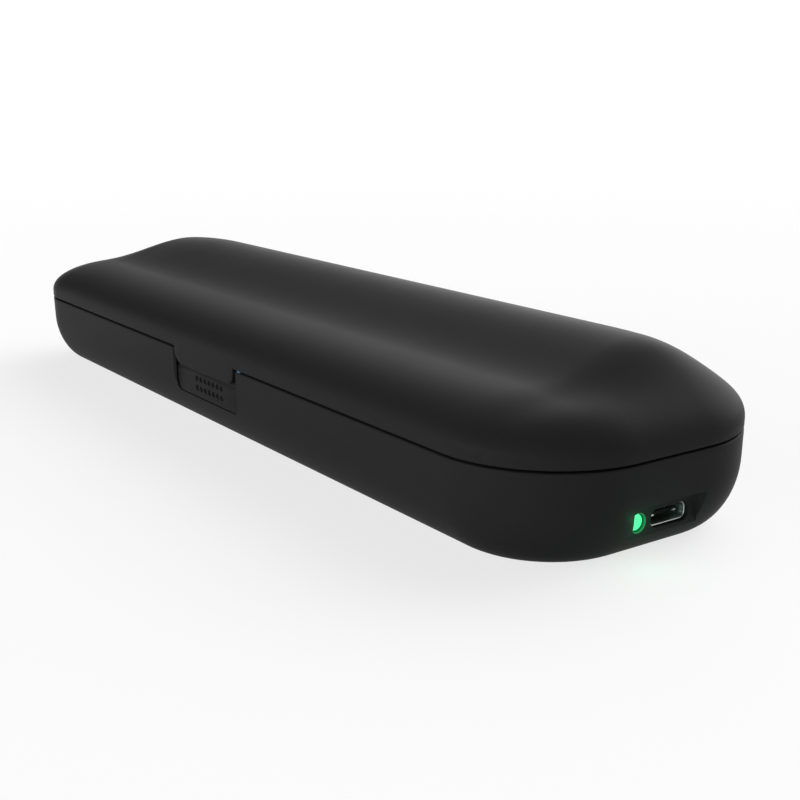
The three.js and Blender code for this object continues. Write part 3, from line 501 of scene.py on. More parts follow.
# The section of the wall: up the outside, over the rounded rim and down the inside to the floor
section = []
for a in np.linspace(0, math.pi / 2, 21):
    height = fillet_rise * (1 - math.cos(a))
    section.append((base_inset(0, 0, height), height))
section += [(base_inset(0, 0, z), z) for z in (14.5, 16, 17.3)]
section += [(top_inset + rim * (1 - math.cos(a)), base_top - rim + rim * math.sin(a)) for a in quarter_turn]
section += [(base_wall - rim * (1 - math.sin(a)), base_top - rim + rim * math.cos(a)) for a in quarter_turn]
section += [(base_inset(base_wall, base_floor, z), z) for z in (16, 13)]
for a in np.linspace(math.pi / 2, 0, 13)[1:]:
    height = fillet_rise - (fillet_rise - base_floor) * math.cos(a)
    section.append((base_inset(base_wall, base_floor, height), height))
base = loft("base", [outline_ring(*place) for place in section], case_black)

# A pad thickens the near end for its pocket, and bosses take the screws.
pocket_floor, pocket_back, pocket_top = 110, 108.2, 10.65
pad_half, pad_end, pad_top = 10.9, 111.2, 12.45
boss_radius, small_boss_radius, screw_bore, bore_depth = 2.8, 2.2, 1.2, 8
tray_boss_top, board_boss_top, bracket_boss_top = 16.1, 4.07, 5.4
tray_places = [(95.5, -24), (95.5, 24), (-97.5, -14), (-96, 24.7)]
board_places = [(99.5, -15.9), (99.5, 15.9)]
bracket_places = [(-13.25, -25.22), (13.25, -25.22)]
bosses = [(*place, boss_radius, tray_boss_top) for place in tray_places]
bosses += [(*place, small_boss_radius, board_boss_top) for place in board_places]
bosses += [(*place, small_boss_radius, bracket_boss_top) for place in bracket_places]
pad = block((pocket_back, pad_end), (-pad_half, pad_half), (1, pad_top), case_black)
for x, y, radius, top in bosses:
    join(pad, prism("boss", circle(x, y, radius, 30), "z", 0.9, top))
case_rings = [outline_ring(base_inset(0, 0, z) + 0.15, z) for z in np.linspace(0.6, 17, 16)]
keep(pad, loft("case_body", case_rings))
for x, y, radius, top in bosses:
    cut(pad, prism("screw_hole", circle(x, y, screw_bore, 24), "z", max(top - bore_depth, 2.2), 20))
join(base, pad)

# A flat chamfer runs around the window, and behind its lip the wall steps back to the plate's outline.
# Each ring of the cut says how much wider, higher and rounder it is than the window, and its depth in y.
window_half, window_low, window_radius = 16.25, 8.1, 3
window_steps = [(4.35, -1.2, 0, -35.55), (-1.1, 0.15, 0, -31), (-0.63, 0.18, -0.4, -30.98),
                (-0.63, 0.18, -0.4, -26.95)]


def window_ring(wider, higher, rounder, y):
    """The latch window's outline at one depth, open at the top."""
    half = window_half + wider
    outline = rounded(-half, half, window_low + higher, 24, window_radius + rounder, 10, 0)
    return [(x, y, z) for x, z in outline]


cut(base, loft("window", [window_ring(*step) for step in window_steps]))


def pocket_ring(height):
    """The pocket's outline from above. Its sides lean outwards towards the underside."""
    lean = (pocket_top - height) * 0.25
    side = [(pocket_floor, 7 + lean)]
    side += [(x, y + lean / 3) for x, y in ((pad_end, 7.7), (half_length, 9.1), (118, 14.5))]
    return [(x, -y, height) for x, y in side] + [(x, y, height) for x, y in reversed(side)]


pocket = loft("pocket", [pocket_ring(-4), pocket_ring(pocket_top)])
ease_edges(pocket, 0.35, 25, 3)
cut(base, pocket)

# Holes of the socket and the lamp in the pocket's floor
port_y, port_z = 1.9, 7.1
port_hole_half, port_hole_rise, port_hole_radius = 4.59, 1.75, 1.42
lamp_y, lamp_z, lamp_hole_radius = -5.65, 7.15, 1.8
end_cut = 100, 116


def port_outline(half, rise, radius, steps):
    """A rounded rectangle about the socket's middle."""
    return rounded(port_y - half, port_y + half, port_z - rise, port_z + rise, radius, steps)


port_hole = port_outline(port_hole_half, port_hole_rise, port_hole_radius, 8)
lamp_hole = circle(lamp_y, lamp_z, lamp_hole_radius, 60)
cut(base, prism("port_hole", port_hole, "x", *end_cut), prism("lamp_hole", lamp_hole, "x", *end_cut))

knuckle_drop, base_bore = 5.2, 0.8
base_knuckle_side = [
    (knuckle_root_y, base_top),
    (knuckle_root_y, parting_z - knuckle_drop),
    (half_width - 0.05, parting_z - knuckle_drop),
    *arc(hinge_y, parting_z, knuckle_radius, -45, 180, 30),
]
base_pieces = [base]
knuckle_start = lid_knuckle / 2 + knuckle_gap
for x in hinge_places:
    cut(base, hinge_room(x - knuckle_start, x + knuckle_start))
    for side in (-1, 1):
        start = x + side * knuckle_start
        base_pieces.append(knuckle(base_knuckle_side, base_bore, start, start + side * base_knuckle))
base = merged("base", base_pieces)
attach(base, "base")
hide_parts("base_shell")

# Trays
# Two grey mouldings drop into the base side by side and are screwed down. The rear one cradles the handle
# and has a housing for the charging parts at its end. The front one has two bays for spare brush heads.

tray_grey = moulded_plastic("tray_grey", (0.045, 0.046, 0.05), 0.5, grain=0.25)
deck_low, tray_gap, tray_wall = 16.4, 2.3, 1.2
tray_under, tray_floor, below, above = 2.1, 3.3, 1, 24
seat_gap = 0.3
handle_y, handle_z, handle_radius, neck_radius = 12.4, 17.1, 13.5, 8
handle_axis = handle_y, handle_z
handle_end, neck_end, shoulder_start, shoulder_end = 88, -100, -86, -60
trough_low = 16.9
# The four rectangles that make the two bays, as their left, right and front
bays = [(-5.4, 85, -19.42), (21.55, 85, -26.6), (-90, -6.6, -19.42), (-90, -21.55, -26.6)]
bay_rear, bay_radius = -3.3, 4
latch_room_half, latch_room_back = 19.15, -21.82
housing_radius, housing_near, housing_far, housing_wall = 8.5, 88.3, 99.5, 1.2


def inner_core(wall, floor, top):
    """The room inside the base, held off its wall and floor."""
    heights = [fillet_rise - (fillet_rise - floor) * math.cos(a) for a in np.linspace(0, math.pi / 2, 14)]
    return loft("core", [outline_ring(base_inset(wall, floor, z), z) for z in (*heights, 16, top)])


def turned(name, profile, centre, sides, material=None, axis="x"):
    """A profile of place along an axis and radius, turned about that axis."""
    rings = []
    for place, radius in profile:
        rings.append([])
        for side in range(sides):
            angle = 2 * math.pi * side / sides
            point = [centre[0] + radius * math.cos(angle), centre[1] + radius * math.sin(angle)]
            point.insert("xyz".index(axis), place)
            rings[-1].append(point)
    return loft(name, rings, material)


def handle_outline(grow):
    """Half widths of the handle along the case: neck, shoulder and grip."""
    shoulder = []
    for x in np.linspace(shoulder_start, shoulder_end, 14):
        widening = (handle_radius - neck_radius) * smoother(x, shoulder_start, shoulder_end)
        shoulder.append((x, neck_radius + widening + grow))
    return [(neck_end - grow, neck_radius + grow), *shoulder, (handle_end + grow, handle_radius + grow)]


def handle_body(grow):
    outline = handle_outline(grow)
    return turned("handle", [(outline[0][0], 0), *outline, (outline[-1][0], 0)], handle_axis, 64)


def handle_ring(grow, z):
    """The handle's outline from above, at a height."""
    outline = handle_outline(grow)
    return [(x, handle_y - r, z) for x, r in outline] + [(x, handle_y + r, z) for x, r in reversed(outline)]


def trough(grow, top):
    """The straight sides of the cradle, above the middle of the handle."""
    return loft("trough", [handle_ring(grow, trough_low), handle_ring(grow, top)])


def bay_ring(bay, grow, z):
    left, right, front = bay
    outline = rounded(left - grow, right + grow, front - grow, bay_rear + grow, bay_radius + grow)
    return [(x, y, z) for x, y in outline]


def bay_body(bay, grow, top):
    return loft("bay", [bay_ring(bay, grow, below), bay_ring(bay, grow, top)])


def arch(radius, foot):
    """The housing's end, with a round top over the handle's axis."""
    return [(handle_y - radius, foot), (handle_y + radius, foot)] + arc(*handle_axis, radius, 0, 180, 28)


# The walls are joined under the deck first, and then the deck with its raised and rounded outer rim.
latch_wall_half, latch_wall_back = latch_room_half + tray_wall, latch_room_back + tray_wall
walls = block((-latch_wall_half, latch_wall_half), (-half_width, latch_wall_back), (11.6, 17.3), tray_grey)
join(walls, *[bay_body(bay, tray_wall, 17.3) for bay in bays])
join(walls, handle_body(tray_wall), trough(tray_wall, 17.35))
keep(walls, inner_core(tray_gap, tray_under, 17.4))
deck_steps = [(2.3, 16.4), (2.3, 19.2), (2.39, 19.41), (2.6, 19.5), (3.2, 19.5), (3.41, 19.41), (3.5, 19.2),
              (3.5, 17.95), (3.6, 17.7), (3.85, 17.6)]
trays = loft("trays", [outline_ring(*step) for step in deck_steps], tray_grey)
join(trays, walls)
housing = prism("housing", arch(housing_radius, deck_low + 0.2), "x", housing_near, housing_far, tray_grey)
ease_edges(housing, 0.6, 60, 3)
join(trays, housing)

# Then the room of the bays and the cradle is cut out in one, and their mouths are rounded.
room = bay_body(bays[0], 0, above)
join(room, *[bay_body(bay, 0, above) for bay in bays[1:]])
join(room, handle_body(0), trough(0, 20.5))
keep(room, inner_core(tray_gap + tray_wall, tray_floor, above))
cut(trays, room)
mouth_steps = [(0, 17.2), (0.12, 17.4), (0.45, 17.62), (0.45, 18)]
for bay in bays:
    cut(trays, loft("mouth", [bay_ring(bay, *step) for step in ((-0.3, 16.9), *mouth_steps)]))
cut(trays, loft("mouth", [handle_ring(*step) for step in ((-0.3, 16.95), *mouth_steps)]))
hollow = prism("hollow", arch(7.3, 11.4), "x", housing_near + housing_wall, housing_far - housing_wall)
latch_room = block((-latch_room_half, latch_room_half), (-36, latch_room_back), (-5, above))
post_hole = turned("post_hole", [(83, 0), (83, 3.5), (93, 3.5), (93, 0)], handle_axis, 40)
cut(trays, hollow, latch_room, post_hole)
tray_hole = [(10, 0), (10, 1.2), (17.3, 1.2), (17.61, 1.5), (17.61, 2.3), (23, 2.3), (23, 0)]
for place in tray_places:
    cut(trays, turned("hole", tray_hole, place, 36, axis="z"))
for name, y in (("handle_tray", (-2.05, 40)), ("head_tray", (-40, -2.35))):
    tray = bpy.data.objects.new(name + "_piece", trays.data.copy())
    bpy.context.collection.objects.link(tray)
    keep(tray, block((-120, 120), y, (0, 40)))
    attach(tray, "base")
    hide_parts(name)
bpy.data.objects.remove(trays)

# Lid liner
# A thin grey moulding pressed into the lid. Two ribs across its hump hold the handle down in its cradle,
# and its front and its end are cut away for the lid's catch and for the housing of the charging parts.

liner_shift, liner_wall, liner_low, liner_deep = 2.05, 1, 19.9, 15
rib_places, rib_half, rib_reach, rib_low, rib_top = (-34, 46), 1, 13.8, 20.6, 34.1


def lid_solid(shift, bottom, material=None):
    """All of the space under the lid's surface, moved inwards by shift."""
    grid = lid_grid(shift, 20, 64)
    rows, columns = grid.shape[:2]
    edge = loop_of(rows, columns)
    points = [*grid.reshape(-1, 3)]
    low = list(range(len(points), len(points) + len(edge)))
    points += [(points[i][0], points[i][1], bottom) for i in edge]
    faces = grid_faces(rows, columns) + strip_faces(low, edge) + [tuple(low[::-1])]
    return mesh_object("lid_solid", points, faces, material)


liner = lid_solid(liner_shift, liner_low, tray_grey)
cut(liner, lid_solid(liner_shift + liner_wall, liner_deep))
for x in rib_places:
    rib_y = handle_y - rib_reach, handle_y + rib_reach
    rib = block((x - rib_half, x + rib_half), rib_y, (rib_low, rib_top), tray_grey)
    cut(rib, handle_body(seat_gap))
    keep(rib, lid_solid(liner_shift + seat_gap, liner_deep))
    join(liner, rib)
cut(liner, block((-window_half, window_half), (-half_width, -28.05), (liner_deep, 21.1)))
housing_room = arch(housing_radius + seat_gap, liner_deep)
cut(liner, prism("room", housing_room, "x", housing_near - seat_gap, housing_far + seat_gap))
liner.name = "liner"
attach(liner, "lid")
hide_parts("lid_liner")

# Release button
# A black moulding behind the latch window, pushed in by a thumb to free the lid. Its plate has a dimpled
# grip, and behind the wall it has flanges, a catch arm and two pegs for the springs.

button_low, button_top, button_half = 8.4, 15.5, 15.5
plate_front, plate_back = -31, -26.7
spring_x, spring_z = 7, 11.975
button_black = moulded_plastic("button_black", (0.0195, 0.0195, 0.0199), 0.4)


def button_face(z):
    """The plate leans with the case's side and stays behind the lid's tongue."""
    return -30.15 - 0.45 * float(smoother(-z, -14.7, -13.3))


plate = rounded(-button_half, button_half, button_low, button_top, 2.5, 10, 0)
button = prism("button", plate, "y", plate_front, plate_back, button_black)
face_side = [(button_face(z), z) for z in (20, *np.linspace(14.7, 13.3, 9), 0)]
cut(button, prism("front", [(-40, 0), (-40, 20), *face_side], "x", -20, 20))
ease_edges(button, 0.15)

# The dimples are pressed by a ball, in two rows of seven, and a little wider than they are high.
grip_x, grip_z = 1, spring_z - 0.35
row_pitch, column_pitch = 2.2, 2.02
dimple_radius, dimple_depth, dimple_stretch = 0.62, 0.6, 1.25
ball = (dimple_radius**2 + dimple_depth**2) / (2 * dimple_depth)
for row in (-0.5, 0.5):
    for column in range(-3, 4):
        z = grip_z + row * row_pitch
        work = bmesh.new()
        bmesh.ops.create_uvsphere(work, u_segments=20, v_segments=14, radius=ball / 1000)
        centre = Vector((grip_x + column * column_pitch, button_face(z) + dimple_depth - ball, z)) / 1000
        bmesh.ops.scale(work, verts=work.verts, vec=(dimple_stretch, 1, 1))
        bmesh.ops.translate(work, verts=work.verts, vec=centre)
        mesh = bpy.data.meshes.new("dimple")
        work.to_mesh(mesh)
        work.free()
        dimple = bpy.data.objects.new("dimple", mesh)
        bpy.context.collection.objects.link(dimple)
        cut(button, dimple, smooth=50)

guide_half, guide_low, guide_front, guide_back = 17.35, 9.4, -28.66, -27.46
flange = block((-guide_half, guide_half), (guide_front, guide_back), (guide_low, button_top), button_black)
ease_edges(flange, 0.15)
arm_half, arm_top, nose_front, nose_low = 9.3, 17.75, -29.35, 16.95
arm_side = [
    (guide_front, guide_low), (guide_back, guide_low), (guide_back, arm_top), (nose_front + 0.4, arm_top),
    (nose_front, arm_top - 0.4), (nose_front, nose_low), (guide_front, nose_low),
]
arm = prism("arm", arm_side, "x", -arm_half, arm_half, button_black)
ease_edges(arm, 0.12)
pegs = []
for x in (-spring_x, spring_x):
    pegs.append(prism("peg", circle(x, spring_z, 0.9, 24), "y", -28, -26.14, button_black))
button = merged("button", [button, flange, arm, *pegs], 40)
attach(button, "button")
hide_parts("release_button")

# Socket
# A USB-C receptacle: a drawn steel shell with a rolled lip, a black insulator at the back and a tongue with
# two rows of gold-plated contacts.

shell_half, shell_rise, shell_radius, shell_wall = 4.47, 1.63, 1.3, 0.3
shell_back, lip_x, lip_roll = 102.3, 109.2, 0.12


def plain_metal(name, colour, roughness):
    """Metal with fine drawn marks along x."""
    material, tree, shader, place = new_material(name)
    stretch = add_node(tree, "Mapping", {"Vector": place, "Scale": (400, 4800, 4800)})
    noise = add_node(tree, "TexNoise", {"Vector": stretch.outputs["Vector"], "Scale": 2, "Detail": 3})
    marks = noise.outputs["Fac"]
    tint = add_node(tree, "MixRGB", {0: marks, 1: shade_of(colour, 0.85), 2: (*colour, 1)})
    sheen = add_node(tree, "MapRange", {
        "Value": marks, "To Min": roughness * 0.8, "To Max": roughness * 1.3,
    })
    set_sockets(tree, shader, {
        "Metallic": 1, "Base Color": tint.outputs[0], "Roughness": sheen.outputs["Result"],
    })
    return material


port_metal = plain_metal("port_metal", (0.62, 0.63, 0.65), 0.3)
port_black = moulded_plastic("port_black", (0.012, 0.012, 0.013), 0.5, grain=0.2)
contact_gold = plain_metal("contact_gold", (0.75, 0.55, 0.2), 0.3)


def port_ring(grow, x):
    """The shell's outline, grown outwards, at a place along the case."""
    outline = port_outline(shell_half + grow, shell_rise + grow, shell_radius + grow, 10)
    return [(x, y, z) for y, z in outline]


shell_rings = [port_ring(0, shell_back), port_ring(0, lip_x)]
for a in quarter_turn[1:]:
    shell_rings.append(port_ring(-lip_roll * (1 - math.cos(a)), lip_x + lip_roll * math.sin(a)))
for a in quarter_turn:
    inside = shell_wall - lip_roll + lip_roll * math.sin(a)
    shell_rings.append(port_ring(-inside, lip_x + lip_roll * math.cos(a)))
shell_rings.append(port_ring(-shell_wall, shell_back))
port_shell = loft("port_shell", shell_rings, port_metal, capped=False)
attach(port_shell, "base")
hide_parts("usb_port_shell")

insulator = prism("insulator", [p[1:] for p in port_ring(-0.42, 0)], "x", shell_back, 104.3, port_black)
tongue = prism("tongue", port_outline(3.35, 0.35, 0.12, 3), "x", 103, 108.05, port_black)
ease_edges(tongue, 0.1)
contact_pitch, contact_half, contact_start, contact_end, long_contact_end = 0.5, 0.13, 104.2, 107.3, 107.7
contacts = []
for side in (-1, 1):
    for index in range(12):
        y = port_y + (index - 5.5) * contact_pitch
        low, high = sorted((port_z + side * 0.34, port_z + side * 0.365))
        left, right = y - contact_half, y + contact_half
        end = long_contact_end if index in (0, 3, 8, 11) else contact_end
        face = [(left, low), (right, low), (right, high), (left, high)]
        contacts.append(prism("contact", face, "x", contact_start, end, contact_gold))
# Steel latch plates lie in both sides of the tongue.
latches = []
for left, right in ((-3.38, -1.9), (2.55, 3.38)):
    face = rounded(port_y + left, port_y + right, port_z - 0.36, port_z - 0.08, 0.1, 3)
    latches.append(prism("latch", face, "x", 106, 108.1, port_metal))
port_tongue = merged("port_tongue", [insulator, tongue, *contacts, *latches])
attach(port_tongue, "base")
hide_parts("usb_port_tongue")

# Lamp
# A light guide of clear plastic in its own hole beside the socket, lit green by the LED behind it.
# Its domed end shines mint green, its rim darkened by painted shade. A thin sleeve lining the hole carries
# painted
# # light, green towards the mouth where the wall catches the glow, and painted shade deeper in.

lamp_front, lamp_reach = 0.1094, 0.0016
lens_radius, lens_foot_radius, dome_x, dome_rise = 1.5, 1.95, 109.35, 0.25


def ramp(tree, share, colours):
    """A colour ramp over a share from 0 to 1, from pairs of a place and a colour."""
    node = add_node(tree, "ValToRGB", {0: share})
    elements = node.color_ramp.elements
    for element, (place, colour) in zip(elements, (colours[0], colours[-1])):
        element.position = place
        element.color = (*colour, 1)
    for place, colour in colours[1:-1]:
        elements.new(place).color = (*colour, 1)
    return node.outputs["Color"]


# The lens glows as the lamp's light. The near-black end of its ramp, at the rim, is painted shade for the
# dark ring where the hole deepens.
lamp_lens, tree, shader, place = new_material("lamp_lens")
lamp_centre = (lamp_front, lamp_y / 1000, lamp_z / 1000)
offset = add_node(tree, "VectorMath", {0: place, 1: lamp_centre}, "SUBTRACT")
distance = add_node(tree, "VectorMath", {0: offset.outputs[0]}, "LENGTH")
share = add_node(tree, "Math", {0: distance.outputs["Value"], 1: lamp_reach}, "DIVIDE")
set_sockets(tree, shader, {
    "Base Color": (0.03, 0.3, 0.13, 1), "Roughness": 0.15, "Emission Strength": 1,
    "Emission Color": ramp(tree, share.outputs[0], [
        (0, (0.04, 0.78, 0.26)), (0.85, (0.09, 0.84, 0.33)), (0.97, (0, 0.06, 0.02)),
    ]),
})
guide = [(106.9, 0), (106.9, lens_foot_radius), (107.9, lens_foot_radius), (107.9, lens_radius)]
for a in np.radians(np.linspace(90, 0, 10)):
    guide.append((dome_x + dome_rise * math.cos(a), lens_radius * math.sin(a)))
light_guide = turned("light_guide", guide, (lamp_y, lamp_z), 48, lamp_lens)
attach(light_guide, "base")
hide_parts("light_guide")

# Painted light and shade on the hole's wall: an emitting sleeve, dark deep in the hole and green towards
# its mouth.
painted_hole_light, tree, shader, place = new_material("painted_hole_light")
parts = add_node(tree, "SeparateXYZ", {0: place})
depth = add_node(tree, "MapRange", {
    "Value": parts.outputs["X"], "From Min": lamp_front, "From Max": 0.1101,
})
set_sockets(tree, shader, {
    "Base Color": (0.01, 0.05, 0.025, 1), "Roughness": 0.5, "Emission Strength": 1,
    "Emission Color": ramp(tree, depth.outputs["Result"], [
        (0, (0, 0.035, 0.012)), (0.5, (0.01, 0.2, 0.06)), (1, (0.022, 0.15, 0.055)),
    ]),
})
painted_sleeve_side = [(107.95, 1.79), (109.98, 1.79), (109.98, 1.72), (107.95, 1.72)]
painted_sleeve = turned("painted_light_sleeve", painted_sleeve_side, (lamp_y, lamp_z), 48, painted_hole_light)
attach(painted_sleeve, "base")

halo = bpy.data.lights.new("lamp_halo", "POINT")
halo.energy = 0.0007
halo.color = (0.1, 1, 0.4)
halo.shadow_soft_size = 0.0012
halo_light = bpy.data.objects.new("lamp_halo", halo)
halo_light.location = (0.1132, (lamp_y - 0.6) / 1000, lamp_z / 1000)
bpy.context.collection.objects.link(halo_light)

# Latch bracket
# A blue moulding screwed to two bosses behind the button. It guides the button's flanges and backs its
# springs, and two small hooks reach over the flanges towards the front wall.

bracket_blue = moulded_plastic("bracket_blue", (0.02, 0.11, 0.22), 0.5, grain=0.25, level=0.3)
bracket_half, cheek_half, bracket_top = 18.85, 17.65, 16.4
bracket_front, bracket_back, foot_low, foot_top = -23.32, -22.12, 5.7, 6.9
bracket_y, bracket_z = (bracket_front, bracket_back), (below, bracket_top)
bracket = block((-bracket_half, bracket_half), bracket_y, bracket_z, bracket_blue)
for side in (-1, 1):
    cheek = sorted((side * bracket_half, side * cheek_half)), (-31, -22.3), (1, 16.39)
    foot = sorted((side * 18.8, side * 8.85)), (-26.82, -22.3), (foot_low, foot_top)
    hook = sorted((side * 18.84, side * 11.5)), (-29.4, -28.2), (15.9, 17.9)
    join(bracket, block(*cheek), block(*foot), block(*hook))
keep(bracket, inner_core(tray_gap, tray_under, 18))
# The near hook has a small tab over the wall's top, which shows beside the window.
join(bracket, block((16.1, 17.4), (-29.4, -28.4), (17.5, 18.7)))
join(bracket, block((16.1, 17.4), (-31.35, -28.4), (18.43, 18.71)))
foot_hole = [(0, 0), (0, 2.5), (5.69, 2.5), (5.69, 1.2), (12, 1.2), (12, 0)]
peg_side = [(-24.64, 0), (-24.64, 0.7), (-24.44, 0.9), (-22.5, 0.9), (-22.5, 0)]
for side, place in zip((-1, 1), bracket_places):
    cut(bracket, turned("hole", foot_hole, place, 30, axis="z"))
    join(bracket, turned("peg", peg_side, (side * spring_x, spring_z), 24, axis="y"))
ease_edges(bracket, 0.12, 60)
bracket.name = "bracket"
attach(bracket, "base")
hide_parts("latch_bracket")

# Button springs
# Two coil springs of steel wire, with their end turns closed. They sit on pegs between the bracket and the
# # button and push it out again; they are drawn at rest, at one length.

spring_radius, spring_wire, spring_start, spring_length = 1.7, 0.225, -26.93, 3.08
spring_turns, spring_steps = 5, 120


def tube(name, path, radius, sides, material):
    """A round wire along a path of points."""
    path = np.array(path, dtype=float)
    along = np.gradient(path, axis=0)
    along /= np.linalg.norm(along, axis=1)[:, None]
    across = np.cross(along[0], (0.3, 0.5, 0.8))
    rings = []
    for point, direction in zip(path, along):
        across = across - direction * across.dot(direction)
        across /= np.linalg.norm(across)
        other = np.cross(direction, across)
        turns = [2 * math.pi * i / sides for i in range(sides)]
        rings.append([tuple(point + radius * (math.cos(a) * across + math.sin(a) * other)) for a in turns])
    return loft(name, rings, material, 50)


steel = plain_metal("steel", (0.62, 0.63, 0.65), 0.32)
for name, x in (("far", -spring_x), ("near", spring_x)):
    path = []
    for step in range(spring_steps + 1):
        share = step / spring_steps
        angle = share * spring_turns * 2 * math.pi
        climb = float(smoother(share, 0, 1)) * 0.5 + share * 0.5
        path.append((x + spring_radius * math.cos(angle), spring_start + spring_length * climb,
                     spring_z + spring_radius * math.sin(angle)))
    spring = tube("spring_" + name, path, spring_wire, 10, steel)
    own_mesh(spring)
    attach(spring, "base")
    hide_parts("button_spring_" + name)

# Screws
# Cross-head screws: black ones hold the trays, and steel ones hold the bracket and the circuit board.
# Each has a threaded shank, a domed head and a cross cut into it.

screw_black = plain_metal("screw_black", (0.05, 0.05, 0.052), 0.4)
head_height, thread_radius, thread_root, thread_pitch = 1.1, 0.95, 0.75, 0.5
cross_half, cross_share, cross_depth = 0.24, 0.58, 0.6
screws = [("tray_screw_%d" % i, screw_black, "screw_black") for i in (1, 2, 3, 4)]
screws += [(name, steel, "steel") for name in ("bracket_screw_far", "bracket_screw_near")]
screws += [(name, steel, "steel") for name in ("board_screw_front", "board_screw_rear")]
for name, material, slot in screws:
    low, high = [1000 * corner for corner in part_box(name)]
    x, y, top = (low.x + high.x) / 2, (low.y + high.y) / 2, high.z
    head, seat = (high.x - low.x) / 2, top - head_height
    profile = [(low.z, 0), (low.z, 0.4)]
    for start in np.arange(low.z + thread_pitch, seat - thread_pitch, thread_pitch):
        profile += [(start, thread_radius), (start + thread_pitch / 2, thread_root)]
    profile += [(seat, thread_radius), (seat, head - 0.12), (seat + 0.1, head), (seat + 0.35, head)]
    for a in np.radians((20, 40, 60, 75, 90)):
        profile.append((seat + 0.35 + 0.75 * math.sin(a), head - 0.6 * (1 - math.cos(a))))
    piece = turned(name + "_piece", [*profile, (top, 0)], (x, y), 32, material, axis="z")
    for across, along in ((cross_half, head * cross_share), (head * cross_share, cross_half)):
        cut(piece, block((x - across, x + across), (y - along, y + along), (top - cross_depth, top + 1)))
    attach(piece, "base")
    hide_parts(name)

# Hinge pins
# Two plain steel pins with rounded ends, pressed into the base's knuckles. The lid's knuckles turn on them.

pin_radius, pin_end_radius, pin_round = 0.8, 0.6, 0.2
reach = knuckle_start + base_knuckle
for name, x in zip(("far", "near"), hinge_places):
    start, end = x - reach, x + reach
    pin_side = [(start, 0), (start, pin_end_radius), (start + pin_round, pin_radius)]
    pin_side += [(end - pin_round, pin_radius), (end, pin_end_radius), (end, 0)]
    pin = turned("pin_" + name, pin_side, (hinge_y, parting_z), 32, steel)
    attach(pin, "base")
    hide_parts("hinge_pin_" + name)

# Charging post
# A hollow plastic post that goes into the handle's foot. A coil of enamelled wire on a ferrite core inside
# it passes the current on, and two leads go down from it to the circuit board.

nose = [(77.6 - 0.6 * math.cos(a), 2.1 + 1.1 * math.sin(a)) for a in np.radians(np.linspace(0, 90, 9))]
post_side = [
    (77, 0), *nose, (89.8, 3.2), (89.8, 5.4), (90, 5.6), (90.9, 5.6), (91.1, 5.4), (91.1, 2.5), (78.2, 2.5),
    (78.2, 0),
]
post = turned("post", post_side, handle_axis, 56, tray_grey)
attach(post, "base")
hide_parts("charging_post")

copper = plain_metal("copper", (0.65, 0.28, 0.13), 0.28)
coil_start, coil_length, coil_radius, coil_turns, turn_steps = 79.05, 7.5, 2, 15, 20
winding = []
for step in range(coil_turns * turn_steps + 1):
    angle = 2 * math.pi * step / turn_steps
    x = coil_start + coil_length * step / (coil_turns * turn_steps)
    winding.append((x, handle_y + coil_radius * math.cos(angle), handle_z + coil_radius * math.sin(angle)))
coil = tube("coil", winding, 0.23, 8, copper)
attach(coil, "base")
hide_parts("charging_coil")

ferrite = moulded_plastic("ferrite", (0.05, 0.05, 0.055), 0.6, grain=0.15, relief=0.02)
core_side = [(78.5, 0), (78.5, 1.25), (78.7, 1.45), (90.9, 1.45), (91.1, 1.25), (91.1, 0)]
core = turned("core_rod", core_side, handle_axis, 40, ferrite)
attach(core, "base")
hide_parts("ferrite_core")

lead_colours = ("lead_red", (0.4, 0.03, 0.025)), ("lead_black", (0.02, 0.02, 0.02))
for index, (name, colour) in enumerate(lead_colours):
    insulation = moulded_plastic(name, colour, 0.45, grain=0.2, level=0.3)
    low, high = [1000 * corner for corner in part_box("coil_lead_%d" % (index + 1))]
    y, start, end = (low.y + high.y) / 2, low.x + 0.35, high.x - 0.35
    path = []
    for share in np.linspace(0, 1, 25):
        x = start + (end - start) * float(smoother(share, 0, 1))
        path.append((x, y, high.z - 0.2 + (low.z + 0.4 - high.z) * share))
    lead = tube(name + "_piece", path, 0.33, 12, insulation)
    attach(lead, "base")
    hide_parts("coil_lead_%d" % (index + 1))

# Circuit board
# A green glass-fibre board under the tray's deck, with the controller chip, the status LED and the socket
# on it. These three plain pieces show as they are, with a material each.

board_green, tree, shader, place = new_material("board_green")
tracks = add_node(tree, "TexBrick", {
    "Vector": place, "Scale": 380, "Mortar Size": 0.03, "Mortar": (0.05, 0.22, 0.09, 1),
    "Color1": (0.02, 0.12, 0.05, 1), "Color2": (0.018, 0.105, 0.045, 1),
})
relief = add_node(tree, "Bump", {"Height": tracks.outputs["Fac"], "Distance": 0.00003})
set_sockets(tree, shader, {
    "Base Color": tracks.outputs["Color"], "Roughness": 0.3, "Normal": relief.outputs["Normal"],
})
led_white = moulded_plastic("led_white", (0.85, 0.88, 0.85), 0.3, grain=0.3, level=0.5)
chip_black = moulded_plastic("chip_black", (0.015, 0.015, 0.016), 0.55, grain=0.1)
plain_pieces = {"circuit_board": board_green, "controller_chip": chip_black, "status_led": led_white}
for name, material in plain_pieces.items():
    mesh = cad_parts[name].data
    if not mesh.materials:
        mesh.materials.append(material)
    for index in range(len(mesh.materials)):
        mesh.materials[index] = material

# Floor and light
# A white table under a plain studio sky: pale at the horizon, with wide soft lights above, behind and in
# front of the case. The camera sees the table near white, and the gloss of the case mirrors a part of it.

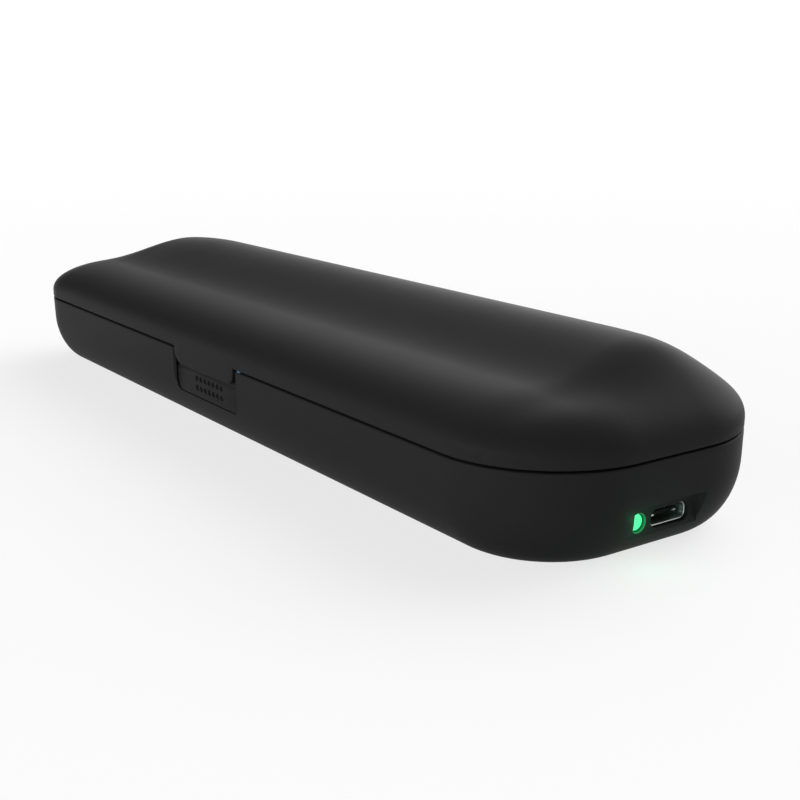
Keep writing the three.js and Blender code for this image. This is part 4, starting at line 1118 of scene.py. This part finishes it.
shadow_start, shadow_end, near_white, mirrored_part = 0.15, 0.7, 0.75, 0.6
floor_mesh = bpy.data.meshes.new("floor")
floor_mesh.from_pydata([(-6, -6, 0), (6, -6, 0), (6, 6, 0), (-6, 6, 0)], [], [(0, 1, 2, 3)])
floor = bpy.data.objects.new("floor", floor_mesh)
bpy.context.collection.objects.link(floor)
floor_material, tree, shader, place = new_material("floor_white")
set_sockets(tree, shader, {"Base Color": (0.96, 0.96, 0.96, 1), "Roughness": 1, "Specular IOR Level": 0})
distance = add_node(tree, "VectorMath", {0: place}, "LENGTH")
whiteness = add_node(tree, "MapRange", {
    "Value": distance.outputs["Value"], "To Min": near_white,
    "From Min": shadow_start, "From Max": shadow_end,
})
ray = add_node(tree, "LightPath", {}).outputs
mirrored = add_node(tree, "Math", {0: ray["Is Glossy Ray"], 1: ray["Is Transmission Ray"]}, "MAXIMUM")
less = add_node(tree, "Math", {0: mirrored.outputs[0], 1: mirrored_part}, "MULTIPLY")
seen = add_node(tree, "Math", {0: ray["Is Camera Ray"], 1: less.outputs[0]}, "MAXIMUM")
share = add_node(tree, "Math", {0: seen.outputs[0], 1: whiteness.outputs["Result"]}, "MULTIPLY")
glow = add_node(tree, "Emission", {})
blend = add_node(tree, "MixShader", {0: share.outputs[0], 1: shader.outputs[0], 2: glow.outputs[0]})
tree.links.new(blend.outputs[0], tree.nodes["Material Output"].inputs[0])
floor_mesh.materials.append(floor_material)

world = bpy.data.worlds.new("studio")
bpy.context.scene.world = world
world.use_nodes = True
tree = world.node_tree
sky = tree.nodes["Background"]
direction_seen = add_node(tree, "TexCoord", {}).outputs["Generated"]


def sky_math(operation, first, second=0):
    return add_node(tree, "Math", {0: first, 1: second}, operation).outputs[0]


def sky_lamp(direction, width, strength):
    """A soft round light in the sky. A larger number makes it narrower."""
    towards = Vector(direction).normalized()
    facing = add_node(tree, "VectorMath", {0: direction_seen, 1: towards}, "DOT_PRODUCT")
    lobe = sky_math("POWER", sky_math("MAXIMUM", facing.outputs["Value"]), width)
    return sky_math("MULTIPLY", lobe, strength)


horizon_height, horizon_power = 0.12, 4
sky_height = add_node(tree, "SeparateXYZ", {0: direction_seen}).outputs["Z"]
level = sky_math("POWER", sky_math("DIVIDE", sky_height, horizon_height), horizon_power)
light = sky_math("EXPONENT", sky_math("MULTIPLY", level, -1))
for direction, width, strength in (
    ((-0.62, 0.62, 0.49), 8, 1.6),
    ((-0.68, 0.68, 0.26), 20, 1.2),
    ((0, 0.87, 0.5), 8, 5.6),
    ((-0.3, -0.95, 0.1), 16, 7),
    ((0.3, -0.95, 0.1), 16, 2.5),
):
    light = sky_math("ADD", light, sky_lamp(direction, width, strength))
set_sockets(tree, sky, {"Color": (1, 1, 1, 1), "Strength": light})

bpy.context.scene.view_settings.view_transform = "Standard"
